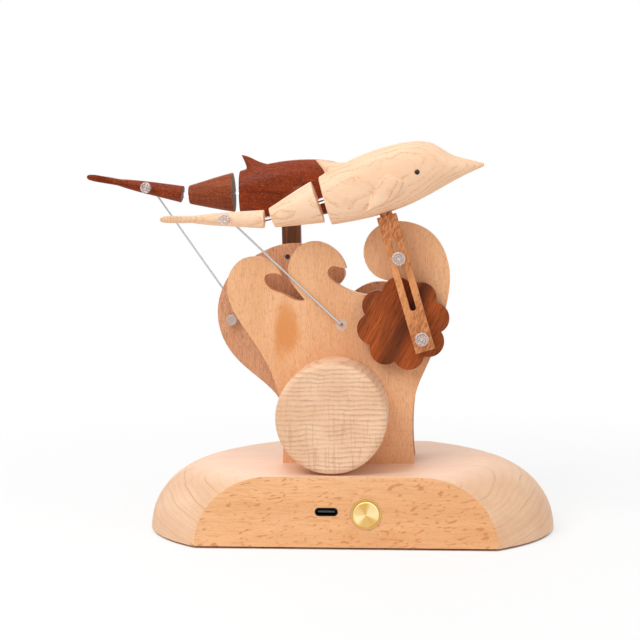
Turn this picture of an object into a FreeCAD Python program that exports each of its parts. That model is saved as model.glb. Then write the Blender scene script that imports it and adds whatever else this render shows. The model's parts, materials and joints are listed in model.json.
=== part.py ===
import FreeCAD, Part
import math
import os

os.makedirs("parts", exist_ok=True)

# Millimetres. X runs along the base, Y from the front to the back, Z up.
# The origin is the centre of the base's underside, on the surface it stands on.
# "Side" is -1 for the front mechanism and +1 for the rear one.

# Base
base_length = 170.0
base_depth = 85.0
base_plan_half_width = 59.8
base_top_z = 28.7
base_shoulder = 30.0
base_sections = 8
pad_thickness = 0.9
pad_inset = 2.5
pocket_length = 92.0
pocket_depth = 60.0
pocket_roof = 6.5
pocket_corner = 8.0
front_wall = 9.5
cover_thickness = 3.0
cover_ledge = 4.0
cover_gap = 0.2
cover_screw_length = 9.0
boss_radius = 5.0
boss_inset = 4.0
pad_hole_margin = 0.6

# Wood screws, all of one size
screw_shank = 2.4
screw_head = 4.8
screw_tip_gap = 1.0

# Electrics at the front of the base
socket_x = -7.4
socket_z = 14.9
socket_width = 9.0
socket_height = 3.2
socket_depth = 9.2
socket_wall = 0.35
socket_back = 1.5
tongue_setback = 0.9
tongue_width = 6.6
tongue_thickness = 0.7
button_x = 8.2
button_z = 14.0
button_diameter = 10.6
button_proud = 1.2
button_length = 5.2
button_travel = 0.8
button_rim = 0.5
button_stem = 3.0
press_gap = 0.1
bush_wall = 0.6
running_gap = 0.08
switch_size = 6.0
switch_height = 3.5
plunger_height = 0.8
plunger_diameter = 3.2
board_length = 46.0
board_height = 14.6
board_thickness = 1.6
board_screw = 2.0
board_screw_inset = 3.5
board_screw_length = 4.5
board_screw_head = 1.2
cell_length = 50.0
cell_width = 34.0
cell_thickness = 8.0
cell_corner = 3.0

# Wave plates
plate_thickness = 8.0
plate_gap = 11.4
foot_centre_x = -0.8
tenon_width = 12.0
tenon_depth = 3.5
tenon_fit = 0.1
tenon_shoulder = 1.0
tenon_offset = 16.0
plate_screw_length = 9.0
spacer_places = ((-27.0, 61.5), (24.0, 63.5), (-42.0, 98.0), (14.0, 38.0))
spacer_radius = 3.5
spacer_screw = 2.0
spacer_screw_grip = 5.0
spacer_screw_head = 0.9
spacer_screw_round = 0.6

# Shafts: places of the axes on the plates
motor_x = -5.8
front_crank_x = 22.1
rear_crank_x = -26.6
crank_z = 87.2
guide_dx = -1.6
guide_dz = 26.7
shaft_diameter = 3.0
shaft_fit = 0.05
bush_outer = 6.0
blind_hole = 4.0
shaft_end_gap = 0.3

# Gears
module = 1.0
pinion_teeth = 12
transfer_teeth = 35
crank_gear_teeth = 20
pressure_angle = 25.0
addendum = 0.8
dedendum = 1.0
backlash = 0.18
gear_width = 5.0
hub_diameter = 8.0
hub_gap = 0.4
wheel_holes = 5
wheel_hole_circle = 20.0
wheel_hole_diameter = 7.2

# Motor housing
drum_radius = 22.1
drum_edge = 2.5
drum_wall = 5.0
drum_face = 4.0
drum_front_setback = 1.0
motor_boss = 7.0
motor_gap = 0.3
motor_length = 19.0
motor_shaft_reach = 11.5
housing_screw_length = 16.0

# Crank discs and levers
disc_gap = 1.0
disc_thickness = 5.0
disc_lobes = 8
disc_outer = 19.05
disc_notch = 15.8
disc_turn = 10.0
disc_cover = 1.0
crank_radius = 9.6
lever_gap = 1.0
lever_thickness = 5.0
lever_width = 8.1
lever_below = 5.2
lever_above = 51.8
slot_width = 2.5
slot_low = 11.8
slot_high = 41.8
pin_diameter = 1.6
pin_fit = 0.06
open_pivot_gap = 0.2
cap_gap = 0.3
cap_diameter = 5.6
cap_height = 2.6
cap_round = 0.7
cap_bore = 1.6
tail_cap_diameter = 4.6
collar_diameter = 5.0
collar_gap = 0.2
sleeve_gap = 0.1
front_crank_angle = -36.5
rear_crank_angle = -95.0

# Dolphins, in the frame of an upright lever, with the origin at its crank pin
lever_tenon_width = 5.0
lever_tenon_depth = 7.0
lever_tenon_shoulder = 0.8
dolphin_half_width = 7.2
rear_face_x = -22.3
waist_pivot_x = -23.6
waist_pivot_z = 64.9
waist_length = 23.0
hinge_gap = 1.6
waist_big = 8.8
waist_small = 4.1
tail_length = 44.0
tail_start = 3.75
tail_half_width = 3.6
tail_pin_along = 17.3
fluke_span = 27.0
fluke_thickness = 2.2
cord_diameter = 2.2
cord_depth = 5.0
cord_fit = 0.05
eye_diameter = 2.4
eye_x = 16.7
eye_z = 65.0
eye_seat = 6.27
fin_thickness = 3.2
fin_root_z = 70.0
flipper_inner = 4.4
flipper_outer = 7.2
front_waist_turn = -3.0
front_tail_turn = 18.5
rear_waist_turn = -1.8
rear_tail_turn = 13.3

# Link wires
wire_diameter = 1.2
wire_bend = 1.0
wire_gap = 0.4
anchor_x_front = -3.6
anchor_x_rear = -51.9
anchor_z_front = 86.3
anchor_z_rear = 86.7
anchor_depth = 6.0
anchor_flange = 5.0
flange_depth = 0.8
anchor_bush = 3.2
anchor_end_gap = 0.5
front_wire_gap = 0.7
rear_leg_reach = 1.8
rear_cap_gap = 0.2

# Places worked out from the sizes above
base_bottom = pad_thickness
front_y = -base_depth / 2.0
plate_inner = plate_gap / 2.0
plate_outer = plate_inner + plate_thickness
disc_inner = plate_outer + disc_gap
disc_face = disc_inner + disc_thickness
lever_inner = disc_face + lever_gap
lever_face = lever_inner + lever_thickness
lever_mid = (lever_inner + lever_face) / 2.0
cap_inner = lever_face + cap_gap
cover_top = base_bottom + cover_thickness
pocket_front = front_y + front_wall
pocket_back = pocket_front + pocket_depth
pocket_middle = (pocket_front + pocket_back) / 2.0
transfer_x = (front_crank_x + rear_crank_x) / 2.0
crank_gear_centres = module * (transfer_teeth + crank_gear_teeth) / 2.0
pinion_centres = module * (transfer_teeth + pinion_teeth) / 2.0
transfer_z = crank_z - math.sqrt(crank_gear_centres ** 2 - (front_crank_x - transfer_x) ** 2)
motor_z = transfer_z - math.sqrt(pinion_centres ** 2 - (motor_x - transfer_x) ** 2)
slot_fit = pin_fit
sleeve_outer = slot_width - 2.0 * slot_fit
blind_depth = plate_inner + blind_hole
plane_leg_start = plate_inner - rear_leg_reach
leg_gap = open_pivot_gap + 0.1


def point(x, y, z):
    return FreeCAD.Vector(x, y, z)


def save(name, *solids):
    shape = solids[0]
    if len(solids) > 1:
        shape = Part.makeCompound(list(solids))
    shape.exportStep("parts/" + name + ".step")
    print(name, len(shape.Solids), round(shape.Volume, 2))
    return shape


def rod(x, z, radius, y0, y1):
    """A round bar along Y, between two depths."""
    low = min(y0, y1)
    return Part.makeCylinder(radius, abs(y1 - y0), point(x, low, z), point(0, 1, 0))


def post(x, y, radius, z0, z1):
    """A round bar along Z."""
    return Part.makeCylinder(radius, z1 - z0, point(x, y, z0))


def block(x0, x1, y0, y1, z0, z1):
    return Part.makeBox(x1 - x0, abs(y1 - y0), z1 - z0, point(x0, min(y0, y1), z0))


def curve(points, y):
    """A smooth edge in the upright plane at depth y, through (x, z) points."""
    spline = Part.BSplineCurve()
    spline.interpolate([point(x, y, z) for x, z in points])
    return spline.toShape()


def line(a, b, y):
    return Part.makeLine(point(a[0], y, a[1]), point(b[0], y, b[1]))


def sheet(stretches, y0, y1):
    """A plate from y0 to y1 whose outline is the given smooth stretches, closed by straight lines."""
    low = min(y0, y1)
    edges = []
    for n, points in enumerate(stretches):
        edges.append(curve(points, low) if len(points) > 2 else line(points[0], points[1], low))
        following = stretches[(n + 1) % len(stretches)][0]
        if math.dist(points[-1], following) > 0.001:
            edges.append(line(points[-1], following, low))
    face = Part.Face(Part.Wire(Part.__sortEdges__(edges)))
    return face.extrude(point(0, abs(y1 - y0), 0))


def rounded_slab(length, depth, corner, middle_y, z0, z1):
    """A slab with round upright corners, centred on the base in X."""
    slab = block(-length / 2.0, length / 2.0, middle_y - depth / 2.0, middle_y + depth / 2.0, z0, z1)
    upright = [e for e in slab.Edges if abs(e.tangentAt(e.FirstParameter).z) > 0.9]
    return slab.makeFillet(corner, upright)


def countersunk_screw(head_point, direction, shank, head, length):
    """A screw whose flat head lies at head_point and whose shank runs along direction."""
    head_depth = (head - shank) / 2.0
    cone = Part.makeCone(head / 2.0, shank / 2.0, head_depth, head_point, direction)
    stem = Part.makeCylinder(shank / 2.0, length, head_point, direction)
    return cone.fuse(stem).removeSplitter()


def turned(shape, x, z, degrees):
    """The shape turned about a line along Y; positive degrees turn its top to the left."""
    copy = shape.copy()
    copy.rotate(point(x, 0, z), point(0, 1, 0), -degrees)
    return copy


def moved(shape, dx, dy, dz):
    copy = shape.copy()
    copy.translate(point(dx, dy, dz))
    return copy


# Base block
def base_outline(inset, z):
    """The base's plan: an ellipse cut flat at the front and back, drawn inset by a margin."""
    half_length = base_length / 2.0 - inset
    half_width = base_plan_half_width - inset
    half_depth = base_depth / 2.0 - inset
    ellipse = Part.Ellipse(point(0, 0, z), half_length, half_width)
    face = Part.Face(Part.Wire(ellipse.toShape()))
    strip = Part.makeBox(base_length * 2, half_depth * 2, 1, point(-base_length, -half_depth, z - 0.5))
    return face.common(strip).Faces[0]


def base_section(y):
    """The base's outline at depth y: level below and on top, with two elliptical shoulders."""
    reach = base_length / 2.0 * math.sqrt(1 - (y / base_plan_half_width) ** 2)
    corners = []
    for side in (-1, 1):
        centre = side * (reach - base_shoulder)
        shoulder = Part.Ellipse(
            point(centre + side * base_shoulder, y, base_bottom),
            point(centre, y, base_top_z),
            point(centre, y, base_bottom),
        )
        corners.append(shoulder.toShape(0, math.pi / 2.0))
    bottom = line((-reach, base_bottom), (reach, base_bottom), y)
    top = line((base_shoulder - reach, base_top_z), (reach - base_shoulder, base_top_z), y)
    return Part.Wire(Part.__sortEdges__([bottom, corners[0], corners[1], top]))


def plain_base():
    """Level on top right up to the front and back; only the two ends round over."""
    step = base_depth / base_sections
    return Part.makeLoft([base_section(front_y + n * step) for n in range(base_sections + 1)], True)


cover_screw_places = [
    (sx * (pocket_length / 2.0 - boss_inset / 2.0), pocket_middle + sy * (pocket_depth / 2.0 - boss_inset))
    for sx in (-1, 1)
    for sy in (-1, 1)
]


def tenon_boxes(side, growth, depth):
    """The two tenons under a wave plate, or their mortises when grown."""
    boxes = []
    for sx in (-1, 1):
        centre = foot_centre_x + sx * tenon_offset
        boxes.append(
            block(
                centre - tenon_width / 2.0 - growth,
                centre + tenon_width / 2.0 + growth,
                side * (plate_inner + tenon_shoulder - growth),
                side * (plate_outer - tenon_shoulder + growth),
                base_top_z - depth,
                base_top_z + 0.5 if growth == 0 else base_top_z,
            )
        )
    return boxes


def plate_screw_places():
    places = []
    for side in (-1, 1):
        for sx in (-1, 1):
            places.append((foot_centre_x + sx * tenon_offset, side * (plate_inner + plate_thickness / 2.0)))
    return places


def make_base():
    body = plain_base()
    roof = base_top_z - pocket_roof
    pocket = rounded_slab(pocket_length, pocket_depth, pocket_corner, pocket_middle, base_bottom, roof)
    for x, y in cover_screw_places:
        pocket = pocket.cut(post(x, y, boss_radius, base_bottom, roof))
    recess = rounded_slab(
        pocket_length + 2 * cover_ledge,
        pocket_depth + 2 * cover_ledge,
        pocket_corner,
        pocket_middle,
        base_bottom,
        cover_top + cover_gap,
    )
    body = body.cut(pocket).cut(recess)
    screw_end = base_bottom + cover_screw_length + screw_tip_gap
    for x, y in cover_screw_places:
        body = body.cut(post(x, y, screw_shank / 2.0, cover_top, screw_end))
    for side in (-1, 1):
        for mortise in tenon_boxes(side, tenon_fit, tenon_depth + tenon_fit):
            body = body.cut(mortise)
    for x, y in plate_screw_places():
        body = body.cut(post(x, y, screw_shank / 2.0, roof - 1, base_top_z))
        body = body.cut(Part.makeCone(
            screw_head / 2.0 + tenon_fit, screw_shank / 2.0, (screw_head - screw_shank) / 2.0 + tenon_fit,
            point(x, y, roof), point(0, 0, 1),
        ))
    body = body.cut(socket_shape(tenon_fit, front_y, pocket_front))
    body = body.cut(rod(button_x, button_z, button_bush_radius + tenon_fit, front_y, bush_end))
    body = body.cut(rod(button_x, button_z, switch_hole_radius, front_y, pocket_front))
    screw_end = pocket_front - board_screw_length - screw_tip_gap / 2.0
    for x in board_screw_xs:
        body = body.cut(rod(x, board_middle_z, board_screw / 2.0, screw_end, pocket_front))
    return body


# Socket, button and circuit board
button_bush_radius = button_diameter / 2.0 + running_gap + bush_wall
button_back = front_y - button_proud + button_length
bush_end = button_back + button_travel + press_gap
switch_hole_radius = switch_size * 0.75
board_middle_z = (socket_z + button_z) / 2.0
board_middle_x = (socket_x + button_x) / 2.0
board_screw_reach = board_length / 2.0 - board_screw_inset
board_screw_xs = (board_middle_x - board_screw_reach, board_middle_x + board_screw_reach)
switch_face = pocket_front - switch_height


def socket_shape(growth, y0, y1):
    """A flat-sided slot with round ends, grown by a margin."""
    half = socket_height / 2.0 + growth
    reach = socket_width / 2.0 - socket_height / 2.0
    middle = block(socket_x - reach, socket_x + reach, y0, y1, socket_z - half, socket_z + half)
    left = rod(socket_x - reach, socket_z, half, y0, y1)
    right = rod(socket_x + reach, socket_z, half, y0, y1)
    return middle.fuse(left).fuse(right).removeSplitter()


def make_socket():
    back = front_y + socket_depth
    shell = socket_shape(0, front_y, back).cut(socket_shape(-socket_wall, front_y, back - socket_back))
    save("usb_c_socket", shell)
    tongue = block(
        socket_x - tongue_width / 2.0, socket_x + tongue_width / 2.0,
        front_y + tongue_setback, back - socket_back,
        socket_z - tongue_thickness / 2.0, socket_z + tongue_thickness / 2.0,
    )
    save("usb_c_tongue", tongue)


def make_button():
    front = front_y - button_proud
    radius = button_diameter / 2.0
    cap = rod(button_x, button_z, radius, front, button_back)
    rim = [e for e in cap.Edges if e.BoundBox.YMax < front + 0.01 and e.Length > radius]
    cap = cap.makeChamfer(button_rim, rim)
    stem_end = switch_face - plunger_height - button_travel - press_gap
    stem = rod(button_x, button_z, button_stem / 2.0, button_back, stem_end)
    save("brass_button", cap.fuse(stem).removeSplitter())
    bush = rod(button_x, button_z, button_bush_radius, front_y, bush_end)
    bush = bush.cut(rod(button_x, button_z, radius + running_gap, front_y, bush_end))
    save("button_bush", bush)


def make_board():
    x0 = board_middle_x - board_length / 2.0
    low = board_middle_z - board_height / 2.0
    back = pocket_front + board_thickness
    board = block(x0, x0 + board_length, pocket_front, back, low, low + board_height)
    for x in board_screw_xs:
        board = board.cut(rod(x, board_middle_z, board_screw / 2.0, pocket_front, back))
    save("circuit_board", board)
    half = switch_size / 2.0
    body = block(
        button_x - half, button_x + half, switch_face, pocket_front, button_z - half, button_z + half,
    )
    plunger = rod(button_x, button_z, plunger_diameter / 2.0, switch_face - plunger_height, switch_face)
    save("push_switch", body.fuse(plunger).removeSplitter())
    screws = []
    for x in board_screw_xs:
        shank = rod(x, board_middle_z, board_screw / 2.0, pocket_front - board_screw_length, back)
        head = rod(x, board_middle_z, board_screw, back, back + board_screw_head)
        screws.append(shank.fuse(head).removeSplitter())
    save("board_screws", *screws)
    cell_top = cover_top + cell_thickness
    cell = rounded_slab(cell_length, cell_width, cell_corner, pocket_middle, cover_top, cell_top)
    save("battery_cell", cell)


def make_cover():
    cover = rounded_slab(
        pocket_length + 2 * (cover_ledge - cover_gap),
        pocket_depth + 2 * (cover_ledge - cover_gap),
        pocket_corner - cover_gap,
        pocket_middle,
        base_bottom,
        cover_top,
    )
    screws = []
    for x, y in cover_screw_places:
        screw = countersunk_screw(
            point(x, y, base_bottom), point(0, 0, 1), screw_shank, screw_head, cover_screw_length,
        )
        cover = cover.cut(screw)
        screws.append(screw)
    save("bottom_cover", cover)
    save("cover_screws", *screws)
    pad = base_outline(pad_inset, 0).extrude(point(0, 0, pad_thickness))
    for x, y in cover_screw_places:
        pad = pad.cut(post(x, y, screw_head / 2.0 + pad_hole_margin, 0, pad_thickness))
    save("non_slip_pad", pad)


# Wave plates
front_outline = (
    ((-28.1, 28.7), (-27.9, 42.0), (-29.4, 55.5), (-33.7, 68.1), (-43.0, 83.2), (-50.5, 97.1),
     (-50.2, 107.0), (-43.6, 113.9), (-35.7, 113.5), (-28.4, 106.4)),
    ((-28.4, 106.4), (-31.8, 107.5), (-35.3, 106.2), (-34.4, 102.3), (-28.4, 99.1), (-22.0, 96.2),
     (-18.7, 96.4)),
    ((-18.7, 96.4), (-21.9, 100.3), (-25.2, 105.6), (-23.8, 115.5), (-15.9, 120.8), (-8.0, 118.5),
     (-2.9, 112.8), (-1.7, 109.6)),
    ((-1.7, 109.6), (-4.4, 110.0), (-7.6, 110.3), (-9.3, 108.2), (-5.3, 103.0), (0.0, 100.3),
     (6.2, 98.7), (17.0, 99.7), (27.0, 102.7)),
    ((27.0, 102.7), (19.0, 104.1), (11.0, 106.2), (5.6, 115.6), (10.4, 126.2), (20.6, 129.1),
     (33.9, 124.1), (41.2, 107.5), (39.6, 93.6), (32.9, 71.8), (27.9, 60.4), (25.7, 46.0), (26.5, 28.7)),
)

rear_outline = (
    ((-28.1, 28.7), (-28.6, 42.0), (-31.9, 52.7), (-41.4, 62.2), (-53.0, 73.4), (-58.4, 88.0),
     (-56.4, 100.2), (-50.0, 109.6), (-42.4, 114.2), (-33.9, 118.3), (-24.0, 119.6), (-12.5, 116.8),
     (-5.6, 111.4), (-3.6, 107.3)),
    ((-3.6, 107.3), (-4.1, 104.6), (-6.2, 101.9), (-8.8, 99.4), (-8.4, 96.4)),
    ((-8.4, 96.4), (-2.6, 97.2), (2.7, 100.7), (9.2, 103.1), (18.0, 102.6), (27.5, 98.6),
     (33.6, 88.0), (32.4, 74.0), (28.0, 61.0), (25.9, 46.0), (26.5, 28.7)),
)


def make_plate(name, outline, side, crank_x, anchor_x, anchor_z):
    plate = sheet(outline, side * plate_inner, side * plate_outer)
    for tenon in tenon_boxes(side, 0, tenon_depth):
        plate = plate.fuse(tenon)
    for x, y in plate_screw_places():
        if y * side > 0:
            screw_end = base_top_z - pocket_roof + plate_screw_length + screw_tip_gap / 2.0
            plate = plate.cut(post(x, y, screw_shank / 2.0, base_top_z - tenon_depth, screw_end))
    through = side * plate_outer
    inner = side * plate_inner
    blind = side * blind_depth
    guide_x = crank_x + guide_dx
    guide_z = crank_z + guide_dz
    other_x = front_crank_x + rear_crank_x - crank_x
    plate = plate.cut(rod(crank_x, crank_z, bush_outer / 2.0, inner, through))
    plate = plate.cut(rod(other_x, crank_z, bush_outer / 2.0, inner, blind))
    plate = plate.cut(rod(transfer_x, transfer_z, shaft_diameter / 2.0, inner, blind))
    plate = plate.cut(rod(guide_x, guide_z, pin_diameter / 2.0, inner, through))
    plate = plate.cut(rod(anchor_x, anchor_z, anchor_bush / 2.0, anchor_start(side), through))
    flange_start = side * (plate_outer - flange_depth)
    plate = plate.cut(rod(anchor_x, anchor_z, anchor_flange / 2.0, flange_start, through))
    if side < 0:
        plate = plate.cut(rod(motor_x, motor_z, motor_boss / 2.0 + motor_gap, inner, through))
        for x, z in housing_screw_places():
            plate = plate.cut(countersunk_screw(
                point(x, inner, z), point(0, side, 0), screw_shank, screw_head, plate_thickness,
            ))
    else:
        for x, z in spacer_places:
            plate = plate.cut(rod(x, z, spacer_screw / 2.0, inner, through))
    save(name, plate.removeSplitter())



def anchor_start(side):
    """The front anchor hole is blind; the rear one goes right through its plate."""
    return side * (plate_outer - anchor_depth) if side < 0 else side * plate_inner


def housing_screw_places():
    reach = drum_radius - drum_wall / 2.0 - motor_gap
    angles = (90.0, 210.0, 330.0)
    return [
        (motor_x + reach * math.cos(math.radians(a)), motor_z + reach * math.sin(math.radians(a)))
        for a in angles
    ]


def make_spacers():
    spacers = []
    screws = []
    length = plate_thickness + spacer_screw_grip
    for x, z in spacer_places:
        spacer = rod(x, z, spacer_radius, -plate_inner, plate_inner)
        spacer = spacer.cut(rod(x, z, spacer_screw / 2.0, plate_outer - length, plate_inner))
        spacers.append(spacer)
        shank = rod(x, z, spacer_screw / 2.0, plate_outer - length, plate_outer)
        head = rod(x, z, spacer_screw, plate_outer, plate_outer + spacer_screw_head)
        rim = [e for e in head.Edges if e.BoundBox.YMin > plate_outer + spacer_screw_round]
        screws.append(shank.fuse(head.makeFillet(spacer_screw_round, rim)).removeSplitter())
    save("plate_spacers", *spacers)
    save("spacer_screws", *screws)
    plate_screws = []
    roof = base_top_z - pocket_roof
    for x, y in plate_screw_places():
        plate_screws.append(countersunk_screw(
            point(x, y, roof), point(0, 0, 1), screw_shank, screw_head, plate_screw_length,
        ))
    save("plate_screws", *plate_screws)


# Motor and its housing
def make_drive():
    face_y = front_y + drum_front_setback
    back_y = -plate_outer
    drum = rod(motor_x, motor_z, drum_radius, face_y, back_y)
    rim = [e for e in drum.Edges if e.BoundBox.YMax < face_y + 0.01 and e.Length > drum_radius]
    drum = drum.makeFillet(drum_edge, rim)
    bore_radius = drum_radius - drum_wall
    drum = drum.cut(rod(motor_x, motor_z, bore_radius, face_y + drum_face, back_y))
    screws = []
    for x, z in housing_screw_places():
        screw = countersunk_screw(
            point(x, -plate_inner, z), point(0, -1, 0), screw_shank, screw_head, housing_screw_length,
        )
        screws.append(screw)
        drum = drum.cut(screw)
    save("motor_housing", drum)
    save("housing_screws", *screws)
    motor_radius = bore_radius - motor_gap
    motor = rod(motor_x, motor_z, motor_radius, back_y - motor_length, back_y)
    motor = motor.fuse(rod(motor_x, motor_z, motor_boss / 2.0, back_y, -plate_inner - 3.0 * screw_tip_gap))
    bore_end = back_y - motor_shaft_reach - screw_tip_gap / 2.0
    motor = motor.cut(rod(motor_x, motor_z, shaft_diameter / 2.0 + shaft_fit, bore_end, -plate_inner))
    save("gear_motor", motor.removeSplitter())
    shaft = rod(motor_x, motor_z, shaft_diameter / 2.0, back_y - motor_shaft_reach, gear_width / 2.0 + 0.5)
    save("motor_shaft", shaft)


# Gears
def gear(teeth, x, z, first_tooth, bore):
    """A spur gear in the gap between the plates, with a tooth centred at the angle first_tooth."""
    pitch = module * teeth / 2.0
    angle = math.radians(pressure_angle)
    base_circle = pitch * math.cos(angle)
    half = math.pi / (2.0 * teeth) - backlash / (4.0 * pitch)

    def half_angle(radius):
        lift = math.acos(min(1.0, base_circle / radius))
        return half + (math.tan(angle) - angle) - (math.tan(lift) - lift)

    root = pitch - dedendum * module
    tip = pitch + addendum * module
    radii = [max(root, base_circle), (pitch + max(root, base_circle)) / 2.0, pitch, (pitch + tip) / 2.0, tip]
    corners = []
    for n in range(teeth):
        centre = math.radians(first_tooth) + 2.0 * math.pi * n / teeth
        flank = [(r, half_angle(r)) for r in radii]
        if root < base_circle:
            flank.insert(0, (root, half_angle(base_circle)))
        for r, a in flank:
            corners.append((r, centre - a))
        for r, a in reversed(flank):
            corners.append((r, centre + a))
    y0 = -gear_width / 2.0
    wire = Part.makePolygon([
        point(x + r * math.cos(a), y0, z + r * math.sin(a)) for r, a in corners + corners[:1]
    ])
    solid = Part.Face(wire).extrude(point(0, gear_width, 0))
    return solid.cut(rod(x, z, bore / 2.0, y0, -y0))


def partner_tooth(teeth, first_tooth, centre, other_teeth, other_centre):
    """The first-tooth angle that puts the other gear's space opposite this gear's tooth."""
    line_angle = math.degrees(math.atan2(other_centre[1] - centre[1], other_centre[0] - centre[0]))
    fraction = (line_angle - first_tooth) * teeth / 360.0
    return line_angle + 180.0 - (0.5 - fraction) * 360.0 / other_teeth


def hub(x, z):
    """Raised hubs on both faces of a gear that keep it off the plates."""
    return rod(x, z, hub_diameter / 2.0, -plate_inner + hub_gap, plate_inner - hub_gap)


def make_gears():
    transfer_centre = (transfer_x, transfer_z)
    wheel = gear(transfer_teeth, transfer_x, transfer_z, 90.0, shaft_diameter + 2 * shaft_fit)
    wheel = wheel.fuse(hub(transfer_x, transfer_z))
    for n in range(wheel_holes):
        a = 2.0 * math.pi * n / wheel_holes
        x = transfer_x + wheel_hole_circle / 2.0 * math.cos(a)
        z = transfer_z + wheel_hole_circle / 2.0 * math.sin(a)
        wheel = wheel.cut(rod(x, z, wheel_hole_diameter / 2.0, -gear_width, gear_width))
    bore = shaft_diameter / 2.0 + shaft_fit
    wheel = wheel.cut(rod(transfer_x, transfer_z, bore, -plate_inner, plate_inner))
    save("transfer_gear", wheel.removeSplitter())
    save("transfer_axle", rod(transfer_x, transfer_z, shaft_diameter / 2.0, -blind_depth, blind_depth))
    motor_centre = (motor_x, motor_z)
    tooth = partner_tooth(transfer_teeth, 90.0, transfer_centre, pinion_teeth, motor_centre)
    save("drive_pinion", gear(pinion_teeth, motor_x, motor_z, tooth, shaft_diameter))
    for name, x in (("front", front_crank_x), ("rear", rear_crank_x)):
        tooth = partner_tooth(transfer_teeth, 90.0, transfer_centre, crank_gear_teeth, (x, crank_z))
        wheel = gear(crank_gear_teeth, x, crank_z, tooth, shaft_diameter)
        wheel = wheel.fuse(hub(x, crank_z))
        wheel = wheel.cut(rod(x, crank_z, shaft_diameter / 2.0, -plate_inner, plate_inner))
        save(name + "_crank_gear", wheel.removeSplitter())


# Cranks
def scalloped_disc(x, z, side):
    low = min(side * disc_inner, side * disc_face)
    step = 360.0 / disc_lobes
    edges = []

    def at(radius, degrees):
        a = math.radians(degrees)
        return point(x + radius * math.cos(a), low, z + radius * math.sin(a))

    for n in range(disc_lobes):
        middle = disc_turn + n * step
        arc = Part.Arc(
            at(disc_notch, middle - step / 2.0), at(disc_outer, middle), at(disc_notch, middle + step / 2.0),
        )
        edges.append(arc.toShape())
    return Part.Face(Part.Wire(edges)).extrude(point(0, disc_thickness, 0))


def crank_pin_place(crank_x, angle):
    a = math.radians(angle)
    return (crank_x + crank_radius * math.cos(a), crank_z + crank_radius * math.sin(a))


def make_crank(name, crank_x, angle, side):
    pin_x, pin_z = crank_pin_place(crank_x, angle)
    shaft_end = side * (disc_face - disc_cover)
    shaft = rod(crank_x, crank_z, shaft_diameter / 2.0, -side * (blind_depth - shaft_end_gap), shaft_end)
    save(name + "_crankshaft", shaft)
    disc = scalloped_disc(crank_x, crank_z, side)
    disc = disc.cut(shaft)
    pin = rod(pin_x, pin_z, pin_diameter / 2.0, side * disc_inner, side * (lever_inner - open_pivot_gap))
    disc = disc.cut(pin)
    save(name + "_crank_disc", disc)
    save(name + "_crank_pin", pin)


def make_bushes():
    bushes = []
    inner = shaft_diameter / 2.0 + shaft_fit
    for x, side in ((front_crank_x, -1), (rear_crank_x, 1)):
        through = rod(x, crank_z, bush_outer / 2.0, side * plate_inner, side * plate_outer)
        bushes.append(through.cut(rod(x, crank_z, inner, side * plate_inner, side * plate_outer)))
        blind = rod(x, crank_z, bush_outer / 2.0, -side * plate_inner, -side * blind_depth)
        bushes.append(blind.cut(rod(x, crank_z, inner, -side * plate_inner, -side * blind_depth)))
    save("crank_bushes", *bushes)


def clear_cap(x, z, side, start, diameter):
    """A turned clear cap with a rounded outer rim."""
    outer = side * (start + cap_height)
    cap = rod(x, z, diameter / 2.0, side * start, outer)
    edges = [(e, e.BoundBox) for e in cap.Edges]
    rim = [e for e, box in edges if max(abs(box.YMin - outer), abs(box.YMax - outer)) < 0.01]
    return cap.makeFillet(cap_round, rim)


def make_guides():
    pins = []
    caps = []
    for name, crank_x, side in (("front", front_crank_x, -1), ("rear", rear_crank_x, 1)):
        x = crank_x + guide_dx
        z = crank_z + guide_dz
        pin = rod(x, z, pin_diameter / 2.0, side * plate_inner, side * (cap_inner + cap_bore))
        pins.append(pin)
        caps.append(clear_cap(x, z, side, cap_inner, cap_diameter).cut(pin))
        collar_end = side * (lever_inner - collar_gap)
        sleeve = rod(x, z, sleeve_outer / 2.0, collar_end, side * (lever_face + sleeve_gap))
        collar = rod(x, z, collar_diameter / 2.0, side * (plate_outer + sleeve_gap), collar_end)
        sleeve = sleeve.fuse(collar)
        sleeve = sleeve.cut(rod(x, z, pin_diameter / 2.0 + pin_fit, side * plate_outer, side * cap_inner))
        save(name + "_guide_sleeve", sleeve.removeSplitter())
    save("guide_pins", *pins)
    save("guide_caps", *caps)


# Levers and dolphins, made upright about the crank pin at X = 0, Z = 0
def upright_lever(side):
    inner = side * lever_inner
    face = side * lever_face
    lever = block(-lever_width / 2.0, lever_width / 2.0, inner, face, -lever_below, lever_above)
    half = slot_width / 2.0
    slot = block(-half, half, inner, face, slot_low + half, slot_high - half)
    slot = slot.fuse(rod(0, slot_low + half, half, inner, face))
    slot = slot.fuse(rod(0, slot_high - half, half, inner, face))
    lever = lever.cut(slot).cut(rod(0, 0, pin_diameter / 2.0, inner, face))
    return lever.fuse(lever_tenon(side, 0)).removeSplitter()


def lever_tenon(side, growth):
    """The tongue on top of a lever, or its mortise in the dolphin when grown."""
    half = lever_tenon_width / 2.0 + growth
    wall = lever_tenon_shoulder - growth
    return block(
        -half, half, side * (lever_inner + wall), side * (lever_face - wall),
        lever_above - tenon_shoulder, lever_above + lever_tenon_depth + growth,
    )


def stand_across(half_height, half_width):
    """An oval wire in the plane X = 0, started at its top so that neighbouring ovals line up."""
    spline = Part.BSplineCurve()
    corners = []
    count = 12
    for n in range(count):
        a = math.radians(90.0 + 360.0 * n / count)
        corners.append(point(0, half_width * math.cos(a), half_height * math.sin(a)))
    spline.interpolate(corners, PeriodicFlag=True)
    return Part.Wire(spline.toShape())


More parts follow.
